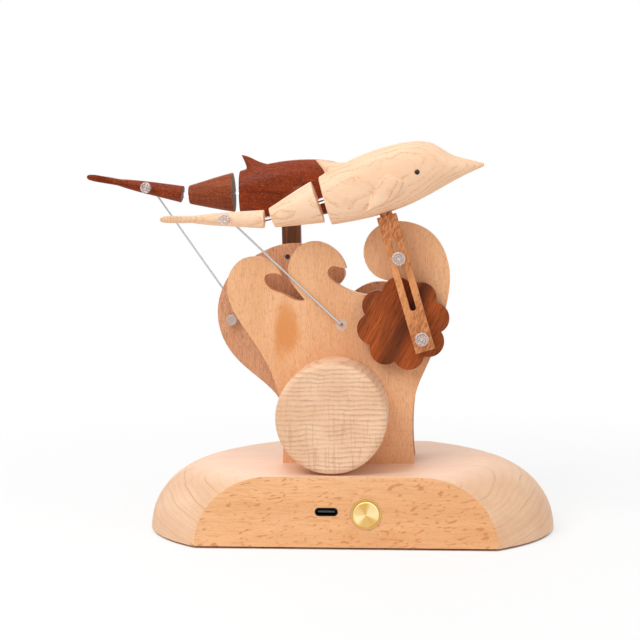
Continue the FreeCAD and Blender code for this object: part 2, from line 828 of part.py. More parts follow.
# Along the body: underside and top as (x, z), and the half width's share as (x, share)
body_underside = ((-26.0, 54.9), (-14.0, 53.4), (-2.0, 52.8), (13.0, 53.9), (27.0, 57.0), (38.5, 59.3),
                  (43.2, 59.9))
body_top = ((-26.0, 73.4), (-15.0, 76.1), (-2.0, 78.3), (9.0, 78.7), (19.0, 77.6), (26.0, 74.6),
            (32.0, 68.3), (38.0, 64.5), (43.2, 61.4))
body_share = ((-26.0, 0.86), (-13.0, 0.97), (2.0, 1.0), (18.0, 0.95), (28.0, 0.74), (35.0, 0.46),
              (43.2, 0.13))
body_sections = 10

dorsal_fin = ((-20.3, 74.4), (-21.6, 78.6), (-20.4, 81.2), (-15.0, 78.8), (-9.5, 76.4))
flipper_front = ((8.6, 60.6), (6.2, 56.8), (0.0, 54.9), (-7.2, 55.0))
flipper_back = ((-7.2, 55.0), (-5.4, 58.6), (-2.0, 62.4), (0.2, 65.6))


def fin_blade(side):
    """The dorsal fin: a blade with a swept back edge."""
    low = side * lever_mid - fin_thickness / 2.0
    root_front = (dorsal_fin[-1][0], fin_root_z)
    root_back = (dorsal_fin[0][0], fin_root_z)
    back = curve(dorsal_fin[:3], low)
    crest = curve(dorsal_fin[2:], low)
    foot = [
        line(dorsal_fin[-1], root_front, low),
        line(root_front, root_back, low),
        line(root_back, dorsal_fin[0], low),
    ]
    blade = Part.Face(Part.Wire(Part.__sortEdges__([back, crest] + foot)))
    return blade.extrude(point(0, fin_thickness, 0))


def flipper(side, hand):
    """A flipper swept back along the flank: a thin leaf whose inner part lies in the body."""
    middle = side * lever_mid
    low = min(middle + hand * flipper_inner, middle + hand * flipper_outer)
    edges = [
        curve(flipper_front, low),
        curve(flipper_back, low),
        line(flipper_back[-1], flipper_front[0], low),
    ]
    leaf = Part.Face(Part.Wire(Part.__sortEdges__(edges)))
    return leaf.extrude(point(0, flipper_outer - flipper_inner, 0))


def loft_stations(stations, half_width, y):
    wires = []
    for x, low, high, share in stations:
        wire = stand_across((high - low) / 2.0, half_width * share)
        wire.translate(point(x, y, (low + high) / 2.0))
        wires.append(wire)
    return Part.makeLoft(wires, True, False, False, 3)


def height_at(points, x):
    """The height at x of the smooth curve through the given (x, height) points."""
    spline = Part.BSplineCurve()
    spline.interpolate([point(a, 0, b) for a, b in points])
    low = spline.FirstParameter
    high = spline.LastParameter
    for _ in range(40):
        middle = (low + high) / 2.0
        if spline.value(middle).x < x:
            low = middle
        else:
            high = middle
    return spline.value(high).z


def upright_body(side, waist_turn):
    y = side * lever_mid
    first = body_top[0][0]
    step = (body_top[-1][0] - first) / body_sections
    stations = []
    for n in range(body_sections + 1):
        x = first + n * step
        stations.append((x, height_at(body_underside, x), height_at(body_top, x), height_at(body_share, x)))
    body = loft_stations(stations, dolphin_half_width, y)
    body = body.fuse(fin_blade(side))
    for hand in (-1, 1):
        body = body.fuse(flipper(side, hand))
    behind = block(rear_face_x - 20, rear_face_x, y - 20, y + 20, 40, 90)
    body = body.cut(behind)
    body = body.cut(lever_tenon(side, 0))
    body = body.cut(cord(waist_pivot_x, waist_pivot_z, y, -waist_turn / 2.0, cord_fit))
    for hand in (-1, 1):
        body = body.cut(eye(side, hand))
    return body


def eye(side, hand):
    centre = point(eye_x, side * lever_mid + hand * eye_seat, eye_z)
    return Part.makeSphere(eye_diameter / 2.0, centre)


def cord(x, z, y, turn, growth):
    """A short clear cord across the gap at a hinge."""
    reach = hinge_gap + cord_depth
    bar = Part.makeCylinder(
        cord_diameter / 2.0 + growth, 2 * (reach + growth), point(x - reach - growth, y, z), point(1, 0, 0),
    )
    return turned(bar, x, z, turn)


# The waist and the tail run towards -X from their own hinge at X = 0, Z = 0
def plain_waist(y):
    stations = (
        (-waist_length + hinge_gap, -waist_small, waist_small, 0.58),
        (-waist_length * 0.6, -6.0, 6.0, 0.76),
        (-waist_length * 0.3, -7.6, 7.7, 0.84),
        (-hinge_gap, -waist_big, waist_big, 0.86),
    )
    return loft_stations(stations, dolphin_half_width, y)


def plain_tail(y):
    end = -tail_length
    stem_end = end + 9.0
    stations = (
        (stem_end, -0.9, 1.2, 0.5),
        (-tail_length * 0.55, -2.2, 2.4, 0.62),
        (-tail_length * 0.3, -3.0, 3.2, 0.85),
        (-hinge_gap, -tail_start, tail_start, 1.0),
    )
    stem = loft_stations(stations, tail_half_width, y)
    return stem.fuse(flukes(y, end))


def flukes(y, end):
    """Flat flukes with a notch between them, seen as a crescent from above."""
    half = fluke_span / 2.0
    root = end + 17.0
    z = -fluke_thickness / 2.0 + 0.2

    def at(x, dy):
        return point(x, y + dy, z)

    edges = [
        Part.Arc(at(root, -2.0), at(end + 7.5, -half * 0.52), at(end, -half)).toShape(),
        Part.Arc(at(end, -half), at(end + 1.6, -half * 0.45), at(end + 5.0, 0)).toShape(),
        Part.Arc(at(end + 5.0, 0), at(end + 1.6, half * 0.45), at(end, half)).toShape(),
        Part.Arc(at(end, half), at(end + 7.5, half * 0.52), at(root, 2.0)).toShape(),
        Part.makeLine(at(root, 2.0), at(root, -2.0)),
    ]
    return Part.Face(Part.Wire(edges)).extrude(point(0, 0, fluke_thickness))


def chain(side, crank_x, angle, waist_turn, tail_turn):
    """Where a dolphin's pivots lie: its crank pin, lean, waist hinge, tail hinge and tail pin."""
    pin_x, pin_z = crank_pin_place(crank_x, angle)
    guide_x = crank_x + guide_dx
    guide_z = crank_z + guide_dz
    lean = math.degrees(math.atan2(pin_x - guide_x, guide_z - pin_z))

    def place(dx, dz, turn, x, z):
        a = math.radians(turn)
        return (x + dx * math.cos(a) - dz * math.sin(a), z + dx * math.sin(a) + dz * math.cos(a))

    waist = place(waist_pivot_x, waist_pivot_z, lean, pin_x, pin_z)
    waist_lean = lean - waist_turn
    tail = place(-waist_length, 0, waist_lean, waist[0], waist[1])
    tail_lean = waist_lean - tail_turn
    tail_pin = place(-tail_pin_along, 0, tail_lean, tail[0], tail[1])
    return {
        "pin": (pin_x, pin_z), "guide": (guide_x, guide_z), "lean": lean, "waist": waist,
        "waist_lean": waist_lean, "tail": tail, "tail_lean": tail_lean, "tail_pin": tail_pin,
        "waist_turn": waist_turn, "waist_cord_lean": lean - waist_turn / 2.0,
        "tail_cord_lean": waist_lean - tail_turn / 2.0,
    }


def make_dolphin(name, side, places):
    y = side * lever_mid
    pin_x, pin_z = places["pin"]

    def stand(shape):
        return turned(moved(shape, pin_x, 0, pin_z), pin_x, pin_z, places["lean"])

    save(name + "_lever", stand(upright_lever(side)))
    save(name + "_dolphin_body", stand(upright_body(side, places["waist_turn"])))
    save(name + "_dolphin_eyes", stand(eye(side, -1)), stand(eye(side, 1)))
    stem = rod(0, 0, pin_diameter / 2.0, side * lever_inner, side * cap_inner)
    save(name + "_crank_cap", stand(clear_cap(0, 0, side, cap_inner, cap_diameter).fuse(stem)))

    waist_x, waist_z = places["waist"]
    tail_x, tail_z = places["tail"]
    waist_cord_lean = places["waist_cord_lean"]
    tail_cord_lean = places["tail_cord_lean"]
    save(name + "_waist_cord", cord(waist_x, waist_z, y, waist_cord_lean, 0))
    save(name + "_tail_cord", cord(tail_x, tail_z, y, tail_cord_lean, 0))

    waist = turned(moved(plain_waist(y), waist_x, 0, waist_z), waist_x, waist_z, places["waist_lean"])
    waist = waist.cut(cord(waist_x, waist_z, y, waist_cord_lean, cord_fit))
    waist = waist.cut(cord(tail_x, tail_z, y, tail_cord_lean, cord_fit))
    save(name + "_dolphin_waist", waist)

    tail = turned(moved(plain_tail(y), tail_x, 0, tail_z), tail_x, tail_z, places["tail_lean"])
    tail = tail.cut(cord(tail_x, tail_z, y, tail_cord_lean, cord_fit))
    x, z = places["tail_pin"]
    near_face = y - tail_half_width
    far_face = y + tail_half_width
    tail = tail.cut(rod(x, z, wire_diameter / 2.0, near_face, far_face))
    save(name + "_dolphin_tail", tail)
    stem = rod(x, z, wire_diameter / 2.0, near_face - cap_gap, far_face)
    cap = clear_cap(x, z, -1, cap_gap / 3.0 - near_face, tail_cap_diameter)
    save(name + "_tail_pin", stem.fuse(cap).removeSplitter())


def make_wire(name, places, anchor, leg_start, plane, leg_end):
    """A wire between two parallel legs, one in its plate and one that ends just short of the tail."""
    pin = places["tail_pin"]
    a = point(anchor[0], plane, anchor[1])
    b = point(pin[0], plane, pin[1])
    run = (b - a).normalize()
    first = point(0, 1 if leg_start > plane else -1, 0)
    last = point(0, 1 if leg_end > plane else -1, 0)
    middle = math.sqrt(0.5)

    def bend(corner, toward, away):
        start = corner + toward * wire_bend
        end = corner + away * wire_bend
        centre = corner + (toward + away) * wire_bend
        half = centre - (toward + away) * (wire_bend * middle)
        return Part.Arc(start, half, end).toShape(), start, end

    arc_a, leg_a, run_a = bend(a, first, run)
    arc_b, run_b, leg_b = bend(b, run * -1, last)
    path = Part.Wire([
        Part.makeLine(point(anchor[0], leg_start, anchor[1]), leg_a),
        arc_a,
        Part.makeLine(run_a, run_b),
        arc_b,
        Part.makeLine(leg_b, point(pin[0], leg_end, pin[1])),
    ])
    circle = Part.Circle(point(anchor[0], leg_start, anchor[1]), point(0, 1, 0), wire_diameter / 2.0)
    wire = path.makePipeShell([Part.Wire(circle.toShape())], True, False)
    save(name + "_link_wire", wire)


def make_links(front, rear):
    front_plane = -(plate_outer + front_wire_gap + wire_diameter / 2.0)
    front_tail_back = -lever_mid + tail_half_width
    make_wire(
        "front", front, (anchor_x_front, anchor_z_front),
        -(plate_outer - anchor_depth + anchor_end_gap), front_plane, front_tail_back + leg_gap,
    )
    rear_plane = lever_mid + dolphin_half_width + wire_gap + wire_diameter / 2.0
    rear_tail_back = lever_mid + tail_half_width
    make_wire(
        "rear", rear, (anchor_x_rear, anchor_z_rear),
        plane_leg_start, rear_plane, rear_tail_back + leg_gap,
    )
    cap = clear_cap(anchor_x_rear, anchor_z_rear, -1, rear_cap_gap - plate_inner, anchor_flange)
    cap = cap.cut(rod(anchor_x_rear, anchor_z_rear, wire_diameter / 2.0, plane_leg_start, plate_inner))
    save("rear_anchor_cap", cap)
    bushes = []
    hole = wire_diameter / 2.0 + shaft_fit
    for x, z, side in ((anchor_x_front, anchor_z_front, -1), (anchor_x_rear, anchor_z_rear, 1)):
        outer = side * plate_outer
        bush = rod(x, z, anchor_bush / 2.0, anchor_start(side), outer)
        bush = bush.fuse(rod(x, z, anchor_flange / 2.0, side * (plate_outer - flange_depth), outer))
        bushes.append(bush.cut(rod(x, z, hole, side * plate_inner, outer)).removeSplitter())
    save("anchor_bushes", *bushes)



def main():
    front = chain(-1, front_crank_x, front_crank_angle, front_waist_turn, front_tail_turn)
    rear = chain(1, rear_crank_x, rear_crank_angle, rear_waist_turn, rear_tail_turn)
    save("base_block", make_base())
    make_socket()
    make_button()
    make_board()
    make_cover()
    make_plate("front_wave_plate", front_outline, -1, front_crank_x, anchor_x_front, anchor_z_front)
    make_plate("rear_wave_plate", rear_outline, 1, rear_crank_x, anchor_x_rear, anchor_z_rear)
    make_spacers()
    make_drive()
    make_gears()
    make_crank("front", front_crank_x, front_crank_angle, -1)
    make_crank("rear", rear_crank_x, rear_crank_angle, 1)
    make_bushes()
    make_guides()
    make_dolphin("front", -1, front)
    make_dolphin("rear", 1, rear)
    make_links(front, rear)


main()
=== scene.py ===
import json
import math

import bmesh
import bpy
import numpy as np
from mathutils import Matrix, Vector


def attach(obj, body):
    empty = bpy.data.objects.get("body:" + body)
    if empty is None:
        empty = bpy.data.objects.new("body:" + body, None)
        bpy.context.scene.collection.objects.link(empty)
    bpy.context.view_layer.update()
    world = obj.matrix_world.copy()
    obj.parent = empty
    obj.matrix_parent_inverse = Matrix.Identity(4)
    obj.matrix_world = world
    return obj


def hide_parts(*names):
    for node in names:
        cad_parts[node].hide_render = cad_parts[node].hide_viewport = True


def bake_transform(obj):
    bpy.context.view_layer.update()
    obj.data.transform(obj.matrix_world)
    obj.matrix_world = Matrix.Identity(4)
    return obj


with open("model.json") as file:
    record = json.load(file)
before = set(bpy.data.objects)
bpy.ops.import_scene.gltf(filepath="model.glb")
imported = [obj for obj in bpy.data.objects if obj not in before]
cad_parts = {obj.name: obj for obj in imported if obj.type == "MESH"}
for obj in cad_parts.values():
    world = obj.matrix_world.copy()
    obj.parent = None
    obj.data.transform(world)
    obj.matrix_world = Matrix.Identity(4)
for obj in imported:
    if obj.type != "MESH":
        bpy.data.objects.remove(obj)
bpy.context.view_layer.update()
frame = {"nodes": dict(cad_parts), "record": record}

MM = 0.001
nodes = frame["nodes"]
bodies_of = {n: body for body, names in frame["record"]["behaviour"]["bodies"].items() for n in names}

# The mechanism's sizes in mm, as in the CAD. "Side" is -1 for the front and +1 for the rear.
base_front = 42.5
crank_z = 87.2
crank_throw = 9.6
front_crank_x, rear_crank_x = 22.1, -26.6
guide_step = (-1.6, 26.7)       # from the crank's middle to the guide pin
waist_step = (-23.6, 64.9)      # from the crank pin to the waist joint, along the upright dolphin
tail_step = -23.0               # from the waist joint to the tail joint
tail_pin_step = -17.3           # from the tail joint to the tail's pin
dolphin_y = 23.2
front_lean, rear_lean = 16.04, 1.21
front_anchor, rear_anchor = (-3.6, 86.3), (-51.9, 86.7)


# Materials
def linear(r, g, b):
    """Linear colour from 0-255 display values."""
    def one(c):
        c = c / 255.0
        return c / 12.92 if c <= 0.04045 else ((c + 0.055) / 1.055) ** 2.4
    return (one(r), one(g), one(b), 1.0)


class Tree:
    """A short way to build a node material."""

    def __init__(self, name, world=None):
        self.mat = world or bpy.data.materials.new(name)
        self.mat.use_nodes = True
        self.nt = self.mat.node_tree
        self.nt.nodes.clear()
        self.out = self.nt.nodes.new("ShaderNodeOutputWorld" if world else "ShaderNodeOutputMaterial")

    def add(self, kind, values=None, **props):
        node = self.nt.nodes.new("ShaderNode" + kind)
        for key, value in props.items():
            setattr(node, key, value)
        for key, value in (values or {}).items():
            self.put(node, key, value)
        return node

    def put(self, node, key, value):
        socket = node.inputs[key]
        if isinstance(value, bpy.types.NodeSocket):
            self.nt.links.new(value, socket)
        elif isinstance(value, bpy.types.Node):
            self.nt.links.new(value.outputs[0], socket)
        else:
            socket.default_value = value

    def math(self, operation, a, b=0.0):
        return self.add("Math", {0: a, 1: b}, operation=operation).outputs[0]

    def times(self, a, b):
        return self.math("MULTIPLY", a, b)

    def plus(self, a, b):
        return self.math("ADD", a, b)

    def mix(self, factor, a, b):
        node = self.add("Mix", data_type="RGBA")
        self.put(node, 0, factor)
        self.put(node, 6, a)
        self.put(node, 7, b)
        return node.outputs[2]

    def between(self, value, low, high):
        """0 below low, 1 above high, smooth between."""
        node = self.add("MapRange", {0: value, 1: low, 2: high, 3: 0.0, 4: 1.0})
        node.interpolation_type = "SMOOTHSTEP"
        return node.outputs[0]

    def grain(self, turn=(0.0, 0.0, 0.0), shift=(0.0, 0.0, 0.0)):
        """Object coordinates in mm, turned so that the grain runs along X."""
        coord = self.add("TexCoord").outputs["Object"]
        big = self.add("VectorMath", {0: coord, 3: 1000.0}, operation="SCALE").outputs[0]
        moved = self.add("VectorMath", {0: big, 1: shift}, operation="SUBTRACT").outputs[0]
        mapped = self.add("Mapping", {"Vector": moved, "Rotation": [math.radians(a) for a in turn]})
        return mapped.outputs[0]

    def stretch(self, vector, x, y, z):
        return self.add("VectorMath", {0: vector, 1: (x, y, z)}, operation="MULTIPLY").outputs[0]

    def noise(self, vector, scale=1.0, detail=2.0, rough=0.5, warp=0.0):
        return self.add("TexNoise", {
            "Vector": vector, "Scale": scale, "Detail": detail, "Roughness": rough, "Distortion": warp,
        }).outputs[0]

    def parts(self, vector):
        return self.add("SeparateXYZ", {0: vector}).outputs

    def wavy(self, vector, amount, x, z):
        """The coordinates pushed across the grain by a slow wave."""
        wave = self.noise(self.stretch(vector, x, x, z), 1.0, 1.0, 0.5)
        push = self.times(self.math("SUBTRACT", wave, 0.5), amount)
        offset = self.add("CombineXYZ", {1: push, 2: push})
        return self.add("VectorMath", {0: vector, 1: offset.outputs[0]}, operation="ADD").outputs[0]

    def surface(self, **values):
        """A Principled surface, its sockets named with _ for spaces."""
        bsdf = self.add("BsdfPrincipled", {k.replace("_", " "): v for k, v in values.items()})
        self.finish(bsdf)

    def finish(self, shader):
        self.nt.links.new(shader.outputs[0], self.out.inputs[0])

    def bump(self, height, strength, distance):
        return self.add("Bump", {"Height": height, "Strength": strength, "Distance": distance}).outputs[0]


def flecks(t, g, cell_long, cell_wide, low, high, seed, detail=1.0):
    """Short dashes along the grain: 1 on a dash, 0 elsewhere."""
    v = t.add("VectorMath", {0: g, 1: (seed * 7.3, seed * 3.7, seed * 5.6)}, operation="ADD").outputs[0]
    v = t.stretch(v, 1.0 / cell_long, 1.0 / cell_wide, 1.0 / cell_wide)
    return t.between(t.noise(v, 1.0, detail, 0.4), low, high)


def thin_line(t, value, spacing, start, end=0.985):
    """Lines at an even spacing of a value: rising from start and dropping at end."""
    saw = t.math("FRACT", t.math("DIVIDE", value, spacing))
    return t.times(t.between(saw, start, end), t.math("SUBTRACT", 1.0, t.between(saw, end, 1.0)))


def beech(name, light, dark, fleck, turn, shift=(0, 0, 0), patch=None, dash=0.5, fibre=0.16, rays=0.3):
    """Straight-grained beech: fine fibres and many short dark dashes along the grain."""
    t = Tree(name)
    g = t.grain(turn, shift)
    broad = t.noise(t.stretch(g, 0.010, 0.055, 0.055), 1.0, 3.0, 0.55, 0.4)
    colour = t.mix(t.between(broad, 0.32, 0.70), light, dark)
    w = t.wavy(g, 1.2, 0.03, 0.06)
    threads = t.noise(t.stretch(w, 0.10, 3.2, 3.2), 1.0, 1.0, 0.5)
    colour = t.mix(t.times(t.between(threads, 0.42, 0.68), fibre), colour, fleck)
    short = flecks(t, w, 1.5, 0.24, 0.56, 0.68, 3.0)
    colour = t.mix(t.times(short, dash), colour, fleck)
    long = flecks(t, w, 3.4, 0.36, 0.60, 0.70, 17.0)
    colour = t.mix(t.times(long, rays), colour, fleck)
    if patch:
        colour = patch(t, colour)
    rough = t.add("MapRange", {0: short, 1: 0.0, 2: 1.0, 3: 0.5, 4: 0.62}).outputs[0]
    t.surface(Base_Color=colour, Roughness=rough, Specular_IOR_Level=0.25,
              Normal=t.bump(short, 0.25, 0.00006))
    return t.mat


def heat_patch(t, colour):
    """A darker upright oval figure on the front plate."""
    g = t.grain()
    d = t.add("VectorMath", {0: g, 1: (-26.9, -13.7, 83.0)}, operation="SUBTRACT").outputs[0]
    d = t.stretch(d, 1.0 / 6.0, 1.0 / 6.0, 1.0 / 13.8)
    wobble = t.noise(t.stretch(g, 0.16, 0.12, 0.08), 1.0, 2.0, 0.5)
    length = t.add("VectorMath", {0: d}, operation="LENGTH").outputs["Value"]
    length = t.plus(length, t.times(t.math("SUBTRACT", wobble, 0.5), 1.0))
    inside = t.math("SUBTRACT", 1.0, t.between(length, 0.45, 1.15))
    return t.mix(t.times(inside, 0.84), colour, linear(220, 142, 76))


def ringed_base(name):
    """The base: long grain along X on its faces, ring ends at its left and right."""
    t = Tree(name)
    g = t.grain()
    light, dark = linear(243, 188, 138), linear(232, 172, 120)
    fleck, deep = linear(214, 146, 92), linear(206, 130, 76)
    w = t.wavy(g, 3.2, 0.045, 0.11)
    broad = t.noise(t.stretch(w, 0.010, 0.05, 0.09), 1.0, 3.0, 0.55, 0.5)
    face = t.mix(t.between(broad, 0.3, 0.72), light, dark)
    threads = t.noise(t.stretch(w, 0.09, 1.9, 1.9), 1.0, 2.0, 0.55)
    face = t.mix(t.times(t.between(threads, 0.44, 0.66), 0.36), face, fleck)
    fine = flecks(t, w, 1.5, 0.34, 0.58, 0.70, 5.0)
    face = t.mix(t.times(fine, 0.34), face, fleck)
    tilted = t.add("Mapping", {"Vector": w, "Rotation": (0.0, math.radians(13.0), 0.0)}).outputs[0]
    crowd = t.noise(t.stretch(g, 0.022, 0.022, 0.05), 1.0, 1.0, 0.5)
    lens = t.noise(t.stretch(tilted, 1.0 / 2.7, 1.0 / 0.95, 1.0 / 0.95), 1.0, 0.6, 0.4)
    lens = t.between(t.plus(lens, t.times(t.math("SUBTRACT", crowd, 0.5), 0.16)), 0.625, 0.72)
    face = t.mix(t.times(lens, 0.68), face, deep)
    # growth rings about a line below the base
    sep = t.parts(g)
    warp = t.noise(t.stretch(g, 0.006, 0.03, 0.05), 1.0, 2.0, 0.5)
    y = t.plus(sep[1], -10.0)
    z = t.plus(sep[2], 118.0)
    radius = t.math("SQRT", t.plus(t.times(y, y), t.times(z, z)))
    radius = t.plus(radius, t.times(warp, 7.0))
    fade = t.between(t.noise(t.stretch(g, 0.02, 0.05, 0.08), 1.0, 2.0, 0.5), 0.36, 0.60)
    line = t.times(thin_line(t, radius, 4.9, 0.92), fade)
    soft = t.times(thin_line(t, t.plus(radius, 1.7), 1.75, 0.4), 0.22)
    end_light, end_dark = linear(244, 207, 174), linear(231, 187, 150)
    end_broad = t.noise(t.stretch(g, 0.03, 0.03, 0.05), 1.0, 3.0, 0.5)
    end = t.mix(t.between(end_broad, 0.3, 0.7), end_light, end_dark)
    end = t.mix(soft, end, linear(218, 166, 124))
    end = t.mix(t.times(line, 0.55), end, linear(178, 118, 78))
    pores = t.noise(t.stretch(g, 1.1, 2.6, 0.7), 1.0, 1.0, 0.5)
    end = t.mix(t.times(t.between(pores, 0.55, 0.72), 0.20), end, linear(196, 138, 98))
    glue = t.math("ABSOLUTE", t.plus(sep[1], 12.5))
    glue = t.times(t.math("SUBTRACT", 1.0, t.between(glue, 0.08, 0.34)), t.math("LESS_THAN", sep[0], -60.0))
    end = t.mix(t.times(glue, 0.5), end, linear(170, 112, 76))
    local = t.add("VectorTransform", {0: t.add("NewGeometry").outputs["Normal"]}, vector_type="NORMAL",
                  convert_from="WORLD", convert_to="OBJECT").outputs[0]
    part = t.parts(local)
    endness = t.between(t.math("ABSOLUTE", part[0]), 0.10, 0.55)
    topness = t.between(part[2], 0.25, 0.75)
    top = t.mix(t.between(broad, 0.3, 0.7), linear(249, 213, 186), linear(243, 201, 170))
    top = t.mix(t.times(t.between(threads, 0.46, 0.68), 0.22), top, linear(222, 168, 130))
    top = t.mix(t.times(fine, 0.16), top, linear(206, 148, 108))
    top = t.mix(t.times(line, 0.20), top, linear(206, 148, 108))
    colour = t.mix(topness, face, top)
    frontness = t.between(t.math("ABSOLUTE", part[1]), 0.72, 0.95)
    colour = t.mix(t.times(endness, t.math("SUBTRACT", 1.0, frontness)), colour, end)
    t.surface(Base_Color=colour, Roughness=0.5, Specular_IOR_Level=0.25, Normal=t.bump(fine, 0.2, 0.00006))
    return t.mat


def end_grain(name):
    """The drum: end grain with level, wavy ring lines crossed by faint upright rays."""
    t = Tree(name)
    g = t.grain()
    sep = t.parts(g)
    wave = t.noise(t.stretch(g, 0.085, 0.05, 0.13), 1.0, 2.0, 0.5)
    fold = t.noise(t.stretch(g, 0.022, 0.02, 0.045), 1.0, 1.0, 0.5)
    level = t.plus(sep[2], t.times(wave, 3.0))
    level = t.plus(level, t.times(fold, 6.0))
    line = thin_line(t, level, 1.85, 0.35, 0.93)
    strength = t.between(t.noise(t.stretch(g, 0.10, 0.09, 0.26), 1.0, 2.0, 0.6), 0.30, 0.66)
    broken = t.between(t.noise(t.stretch(g, 0.55, 0.3, 1.4), 1.0, 1.0, 0.5), 0.36, 0.58)
    rays = t.noise(t.stretch(g, 1.0, 0.1, 0.075), 1.0, 1.0, 0.5)
    rays = t.between(rays, 0.54, 0.66)
    ticks = t.between(t.noise(t.stretch(g, 1.5, 0.3, 1.1), 1.0, 1.0, 0.5), 0.56, 0.72)
    low_part = t.math("SUBTRACT", 1.0, t.between(sep[2], 38.0, 62.0))
    light, mid, brown = linear(240, 201, 168), linear(229, 186, 150), linear(184, 130, 94)
    broad = t.noise(t.stretch(g, 0.07, 0.05, 0.07), 1.0, 2.0, 0.5)
    colour = t.mix(t.between(broad, 0.32, 0.72), light, mid)
    drawn = t.times(t.times(line, t.plus(t.times(strength, 0.6), 0.4)), t.plus(t.times(broken, 0.35), 0.6))
    colour = t.mix(t.times(drawn, 0.62), colour, brown)
    colour = t.mix(t.times(rays, t.plus(t.times(low_part, 0.16), 0.10)), colour, brown)
    colour = t.mix(t.times(ticks, 0.14), colour, linear(176, 118, 84))
    t.surface(Base_Color=colour, Roughness=0.5, Specular_IOR_Level=0.25)
    return t.mat


def figured(name, light, dark, pore, turn, shift, ribbon=0.11, pore_size=(5.0, 0.34), pores=0.5, threads=0.35,
            rough=0.45, coat=0.0, gloss=0.16, extra=None):
    """Redwood or walnut: ribbons along the grain with short dark pores."""
    t = Tree(name)
    g = t.grain(turn, shift)
    band = t.noise(t.stretch(g, 0.014, ribbon, ribbon), 1.0, 3.0, 0.6, 0.5)
    colour = t.mix(t.between(band, 0.30, 0.70), light, dark)
    thin = t.noise(t.stretch(g, 0.05, 1.35, 1.35), 1.0, 2.0, 0.6)
    colour = t.mix(t.times(t.between(thin, 0.5, 0.72), threads), colour, pore)
    pale = t.between(t.noise(t.stretch(g, 0.09, 1.4, 1.4), 1.0, 1.0, 0.5), 0.58, 0.72)
    colour = t.mix(t.times(pale, 0.34), colour, tuple(min(1.0, c * 1.6) for c in light[:3]) + (1.0,))
    p = flecks(t, g, pore_size[0], pore_size[1], 0.56, 0.70, 9.0)
    colour = t.mix(t.times(p, pores), colour, pore)
    if extra:
        colour = extra(t, g, colour)
    t.surface(Base_Color=colour, Roughness=rough, Specular_IOR_Level=gloss, Coat_Weight=coat,
              Coat_Roughness=0.22, Normal=t.bump(p, 0.25, 0.00008))
    return t.mat


def disc_band_and_lever_shadow(t, g, colour):
    """A dark band along the grain beside the middle of the disc: partly the wood's figure and partly a
    painted shadow of the lever.
    """
    across = t.parts(g)[2]
    wobble = t.noise(t.stretch(g, 0.05, 0.05, 0.2), 1.0, 2.0, 0.5)
    across = t.plus(across, t.times(t.math("SUBTRACT", wobble, 0.5), 4.0))
    away = t.math("ABSOLUTE", t.plus(across, 1.5))
    inside = t.math("SUBTRACT", 1.0, t.between(away, 0.8, 5.5))
    hatch = t.noise(t.stretch(g, 0.14, 2.6, 2.6), 1.0, 1.0, 0.5)
    colour = t.mix(t.times(t.between(hatch, 0.48, 0.64), 0.40), colour, linear(98, 46, 22))
    # the dark band: the wood's figure with a painted shadow of the lever in it
    return t.mix(t.times(inside, 0.76), colour, linear(72, 33, 16))


def lever_stripes(t, g, colour):
    """Redder, mottled wood at the top of the lever and along one side."""
    sep = t.parts(g)
    mottle = t.noise(t.stretch(g, 0.42, 1.5, 1.5), 1.0, 2.0, 0.6)
    upper = t.between(t.math("ABSOLUTE", sep[0]), 8.0, 30.0)
    side = t.between(t.times(sep[2], -1.0), 1.2, 3.8)
    amount = t.math("MAXIMUM", upper, t.times(side, 0.75))
    spots = t.times(t.between(mottle, 0.40, 0.62), t.plus(t.times(amount, 0.56), 0.08))
    patch = t.plus(spots, t.times(amount, 0.28))
    return t.mix(patch, colour, linear(156, 84, 46))


def ring_lines(t, g, spacing, start):
    """Growth ring lines: nearly flat layers parallel to the flank, so that a bulge shows closed loops."""
    sep = t.parts(g)
    warp = t.noise(t.stretch(g, 0.030, 0.05, 0.055), 1.0, 2.0, 0.5)
    small = t.noise(t.stretch(g, 0.22, 0.3, 0.22), 1.0, 2.0, 0.5)
    u = t.plus(sep[1], t.times(sep[0], 0.05))
    u = t.plus(u, t.times(warp, 7.5))
    u = t.plus(u, t.times(small, 0.8))
    return thin_line(t, u, spacing, start, 0.93)


def pale_wood(name, turn, shift):
    t = Tree(name)
    g = t.grain(turn, shift)
    broad = t.noise(t.stretch(g, 0.02, 0.05, 0.05), 1.0, 3.0, 0.55, 0.4)
    colour = t.mix(t.between(broad, 0.3, 0.72), linear(246, 208, 174), linear(239, 195, 157))
    line = ring_lines(t, g, 1.15, 0.5)
    fade = t.between(t.noise(t.stretch(g, 0.08, 0.08, 0.08), 1.0, 2.0, 0.5), 0.34, 0.64)
    colour = t.mix(t.times(t.times(line, fade), 0.44), colour, linear(216, 158, 110))
    broken = flecks(t, g, 1.5, 0.6, 0.50, 0.64, 7.0)
    colour = t.mix(t.times(t.times(line, broken), 0.40), colour, linear(206, 140, 88))
    fine = flecks(t, g, 2.6, 0.34, 0.57, 0.72, 11.0)
    colour = t.mix(t.times(fine, 0.16), colour, linear(212, 150, 100))
    t.surface(Base_Color=colour, Roughness=0.42, Specular_IOR_Level=0.4, Normal=t.bump(line, 0.06, 0.00004))
    return t.mat


def red_grain(t, g, colour):
    """Curved ring lines and a fine light and dark speckle."""
    line = ring_lines(t, g, 1.5, 0.4)
    colour = t.mix(t.times(line, 0.26), colour, linear(84, 34, 20))
    dots = t.noise(t.stretch(g, 1.7, 2.4, 2.4), 1.0, 1.0, 0.5)
    colour = t.mix(t.times(t.between(dots, 0.54, 0.70), 0.42), colour, linear(196, 110, 66))
    dark_dots = t.noise(t.stretch(g, 1.3, 2.2, 2.2), 1.0, 1.0, 0.5, 0.6)
    return t.mix(t.times(t.between(dark_dots, 0.55, 0.70), 0.5), colour, linear(78, 30, 18))


def end_face(base_grain, pale, along, past):
    """Adds a paler cut face beyond a level along the grain."""
    def extra(t, g, colour):
        colour = base_grain(t, g, colour) if base_grain else colour
        return t.mix(t.between(t.times(t.parts(g)[0], along), past, past + 0.12), colour, pale)
    return extra


